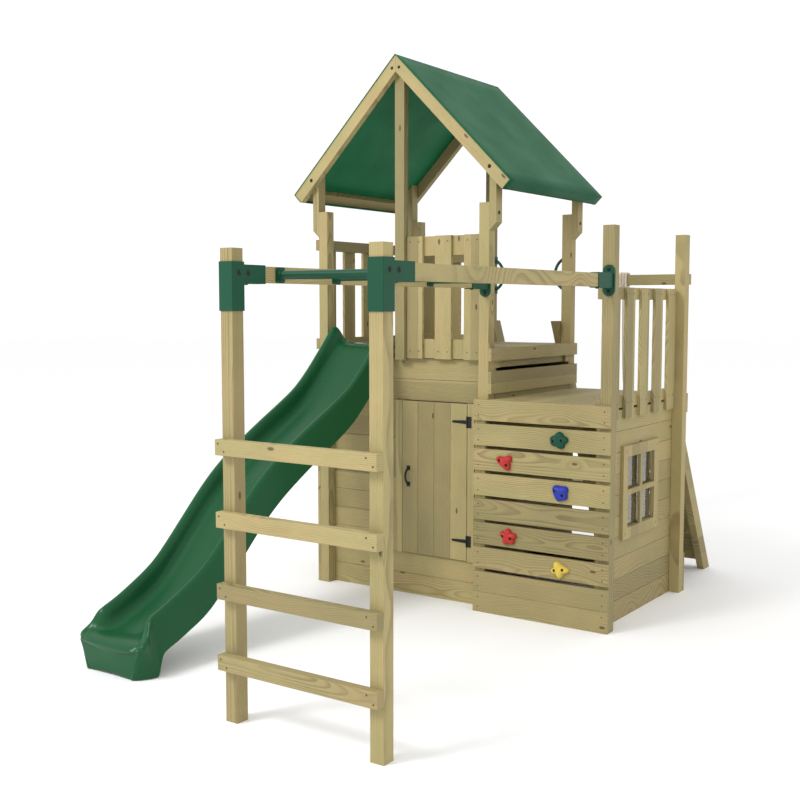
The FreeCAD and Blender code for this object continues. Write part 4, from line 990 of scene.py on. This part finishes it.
turns = []
for index, x in enumerate(TURN_PLACES, 1):
    ring = sampled_line(rail_turn(x + TO_FRAME.x), "turn_line", closed=True)
    turns.append(twisted(ring + ring[:1], "rope_turn_%d" % index, closed=True))
hook_x = ROPE_ROUTE[0].x
last_turn = rail_turn(hook_x)
hook = sampled_line(last_turn[3:] + [ROPE_ROUTE[0]], "hook_line")
turns.append(twisted(hook, "rope_hook"))
for turn in turns:
    finish_piece(turn, rope_fibre)
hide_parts("rope_turns")

finish_piece(rope, rope_fibre)
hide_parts("climbing_rope")

along_end = (ROPE_ROUTE[-1] - ROPE_ROUTE[-2]).normalized()
KNOT_R = 0.022
knot_centre = ROPE_ROUTE[-1] + along_end * (KNOT_R - 0.004)
knot_side = along_end.cross(Vector((1, 0, 0))).normalized()
knot_up = along_end.cross(knot_side)
TREFOIL = 0.0050
KNOT_STEPS, TAIL_STEPS, TAIL_OUT = 18, 12, 0.034
knot_points = []
for step in range(KNOT_STEPS):
    t = 2 * math.pi * step / KNOT_STEPS
    a = TREFOIL * (math.sin(t) + 2 * math.sin(2 * t))
    b = TREFOIL * (math.cos(t) - 2 * math.cos(2 * t))
    c = TREFOIL * -1.25 * math.sin(3 * t)
    knot_points.append(knot_centre + knot_up * a + along_end * b + knot_side * c)
knot_line = sampled_line(knot_points, "knot_line", closed=True)
knot = twisted(knot_line + knot_line[:1], "rope_end_knot", closed=True)
tail_end = knot_centre + along_end * (KNOT_R + TAIL_OUT)
tail_line = [knot_centre.lerp(tail_end, i / TAIL_STEPS) for i in range(TAIL_STEPS + 1)]
tail = twisted(tail_line, "rope_tail")
for piece in (knot, tail):
    finish_piece(piece, rope_fibre)
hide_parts("rope_knot")

# %% [markdown]
# ## Floor and light
# A pale floor without edges, a bright even sky and two big soft lights give the quiet look of a
# studio. The key light stands high in front and to the left, so the fronts of the boards are the
# brightest faces and the shadows on the floor stay soft.

# %% Studio floor
FLOOR_REACH = 60.0
bm = bmesh.new()
bmesh.ops.create_circle(bm, cap_ends=True, segments=96, radius=FLOOR_REACH)
floor = piece_from(bm, "studio_floor")
floor_paint = bpy.data.materials.new("floor_paint")
floor_paint.use_nodes = True
floor_shader = floor_paint.node_tree.nodes["Principled BSDF"]
floor_shader.inputs["Base Color"].default_value = (0.94, 0.94, 0.94, 1)
floor_shader.inputs["Roughness"].default_value = 0.9
floor.data.materials.append(floor_paint)

# %% Studio light
world = bpy.data.worlds.new("studio_sky")
bpy.context.scene.world = world
world.use_nodes = True
world.node_tree.nodes["Background"].inputs["Color"].default_value = (1.0, 1.0, 1.0, 1)
world.node_tree.nodes["Background"].inputs["Strength"].default_value = 1.05


def soft_light(name, place, aim, size, power):
    lamp = bpy.data.lights.new(name, "AREA")
    lamp.shape = "DISK"
    lamp.size = size
    lamp.energy = power
    light = bpy.data.objects.new(name, lamp)
    light.location = place
    light.rotation_euler = (Vector(aim) - Vector(place)).to_track_quat("-Z", "Y").to_euler()
    bpy.context.scene.collection.objects.link(light)


soft_light("key_light", (-2.5, -7.5, 7.0), (0, 0, 1.2), 3.0, 470)
soft_light("fill_light", (6.5, -2.0, 4.5), (0, 0, 1.2), 4.0, 20)
bpy.context.scene.view_settings.view_transform = "Standard"
print("studio ready")
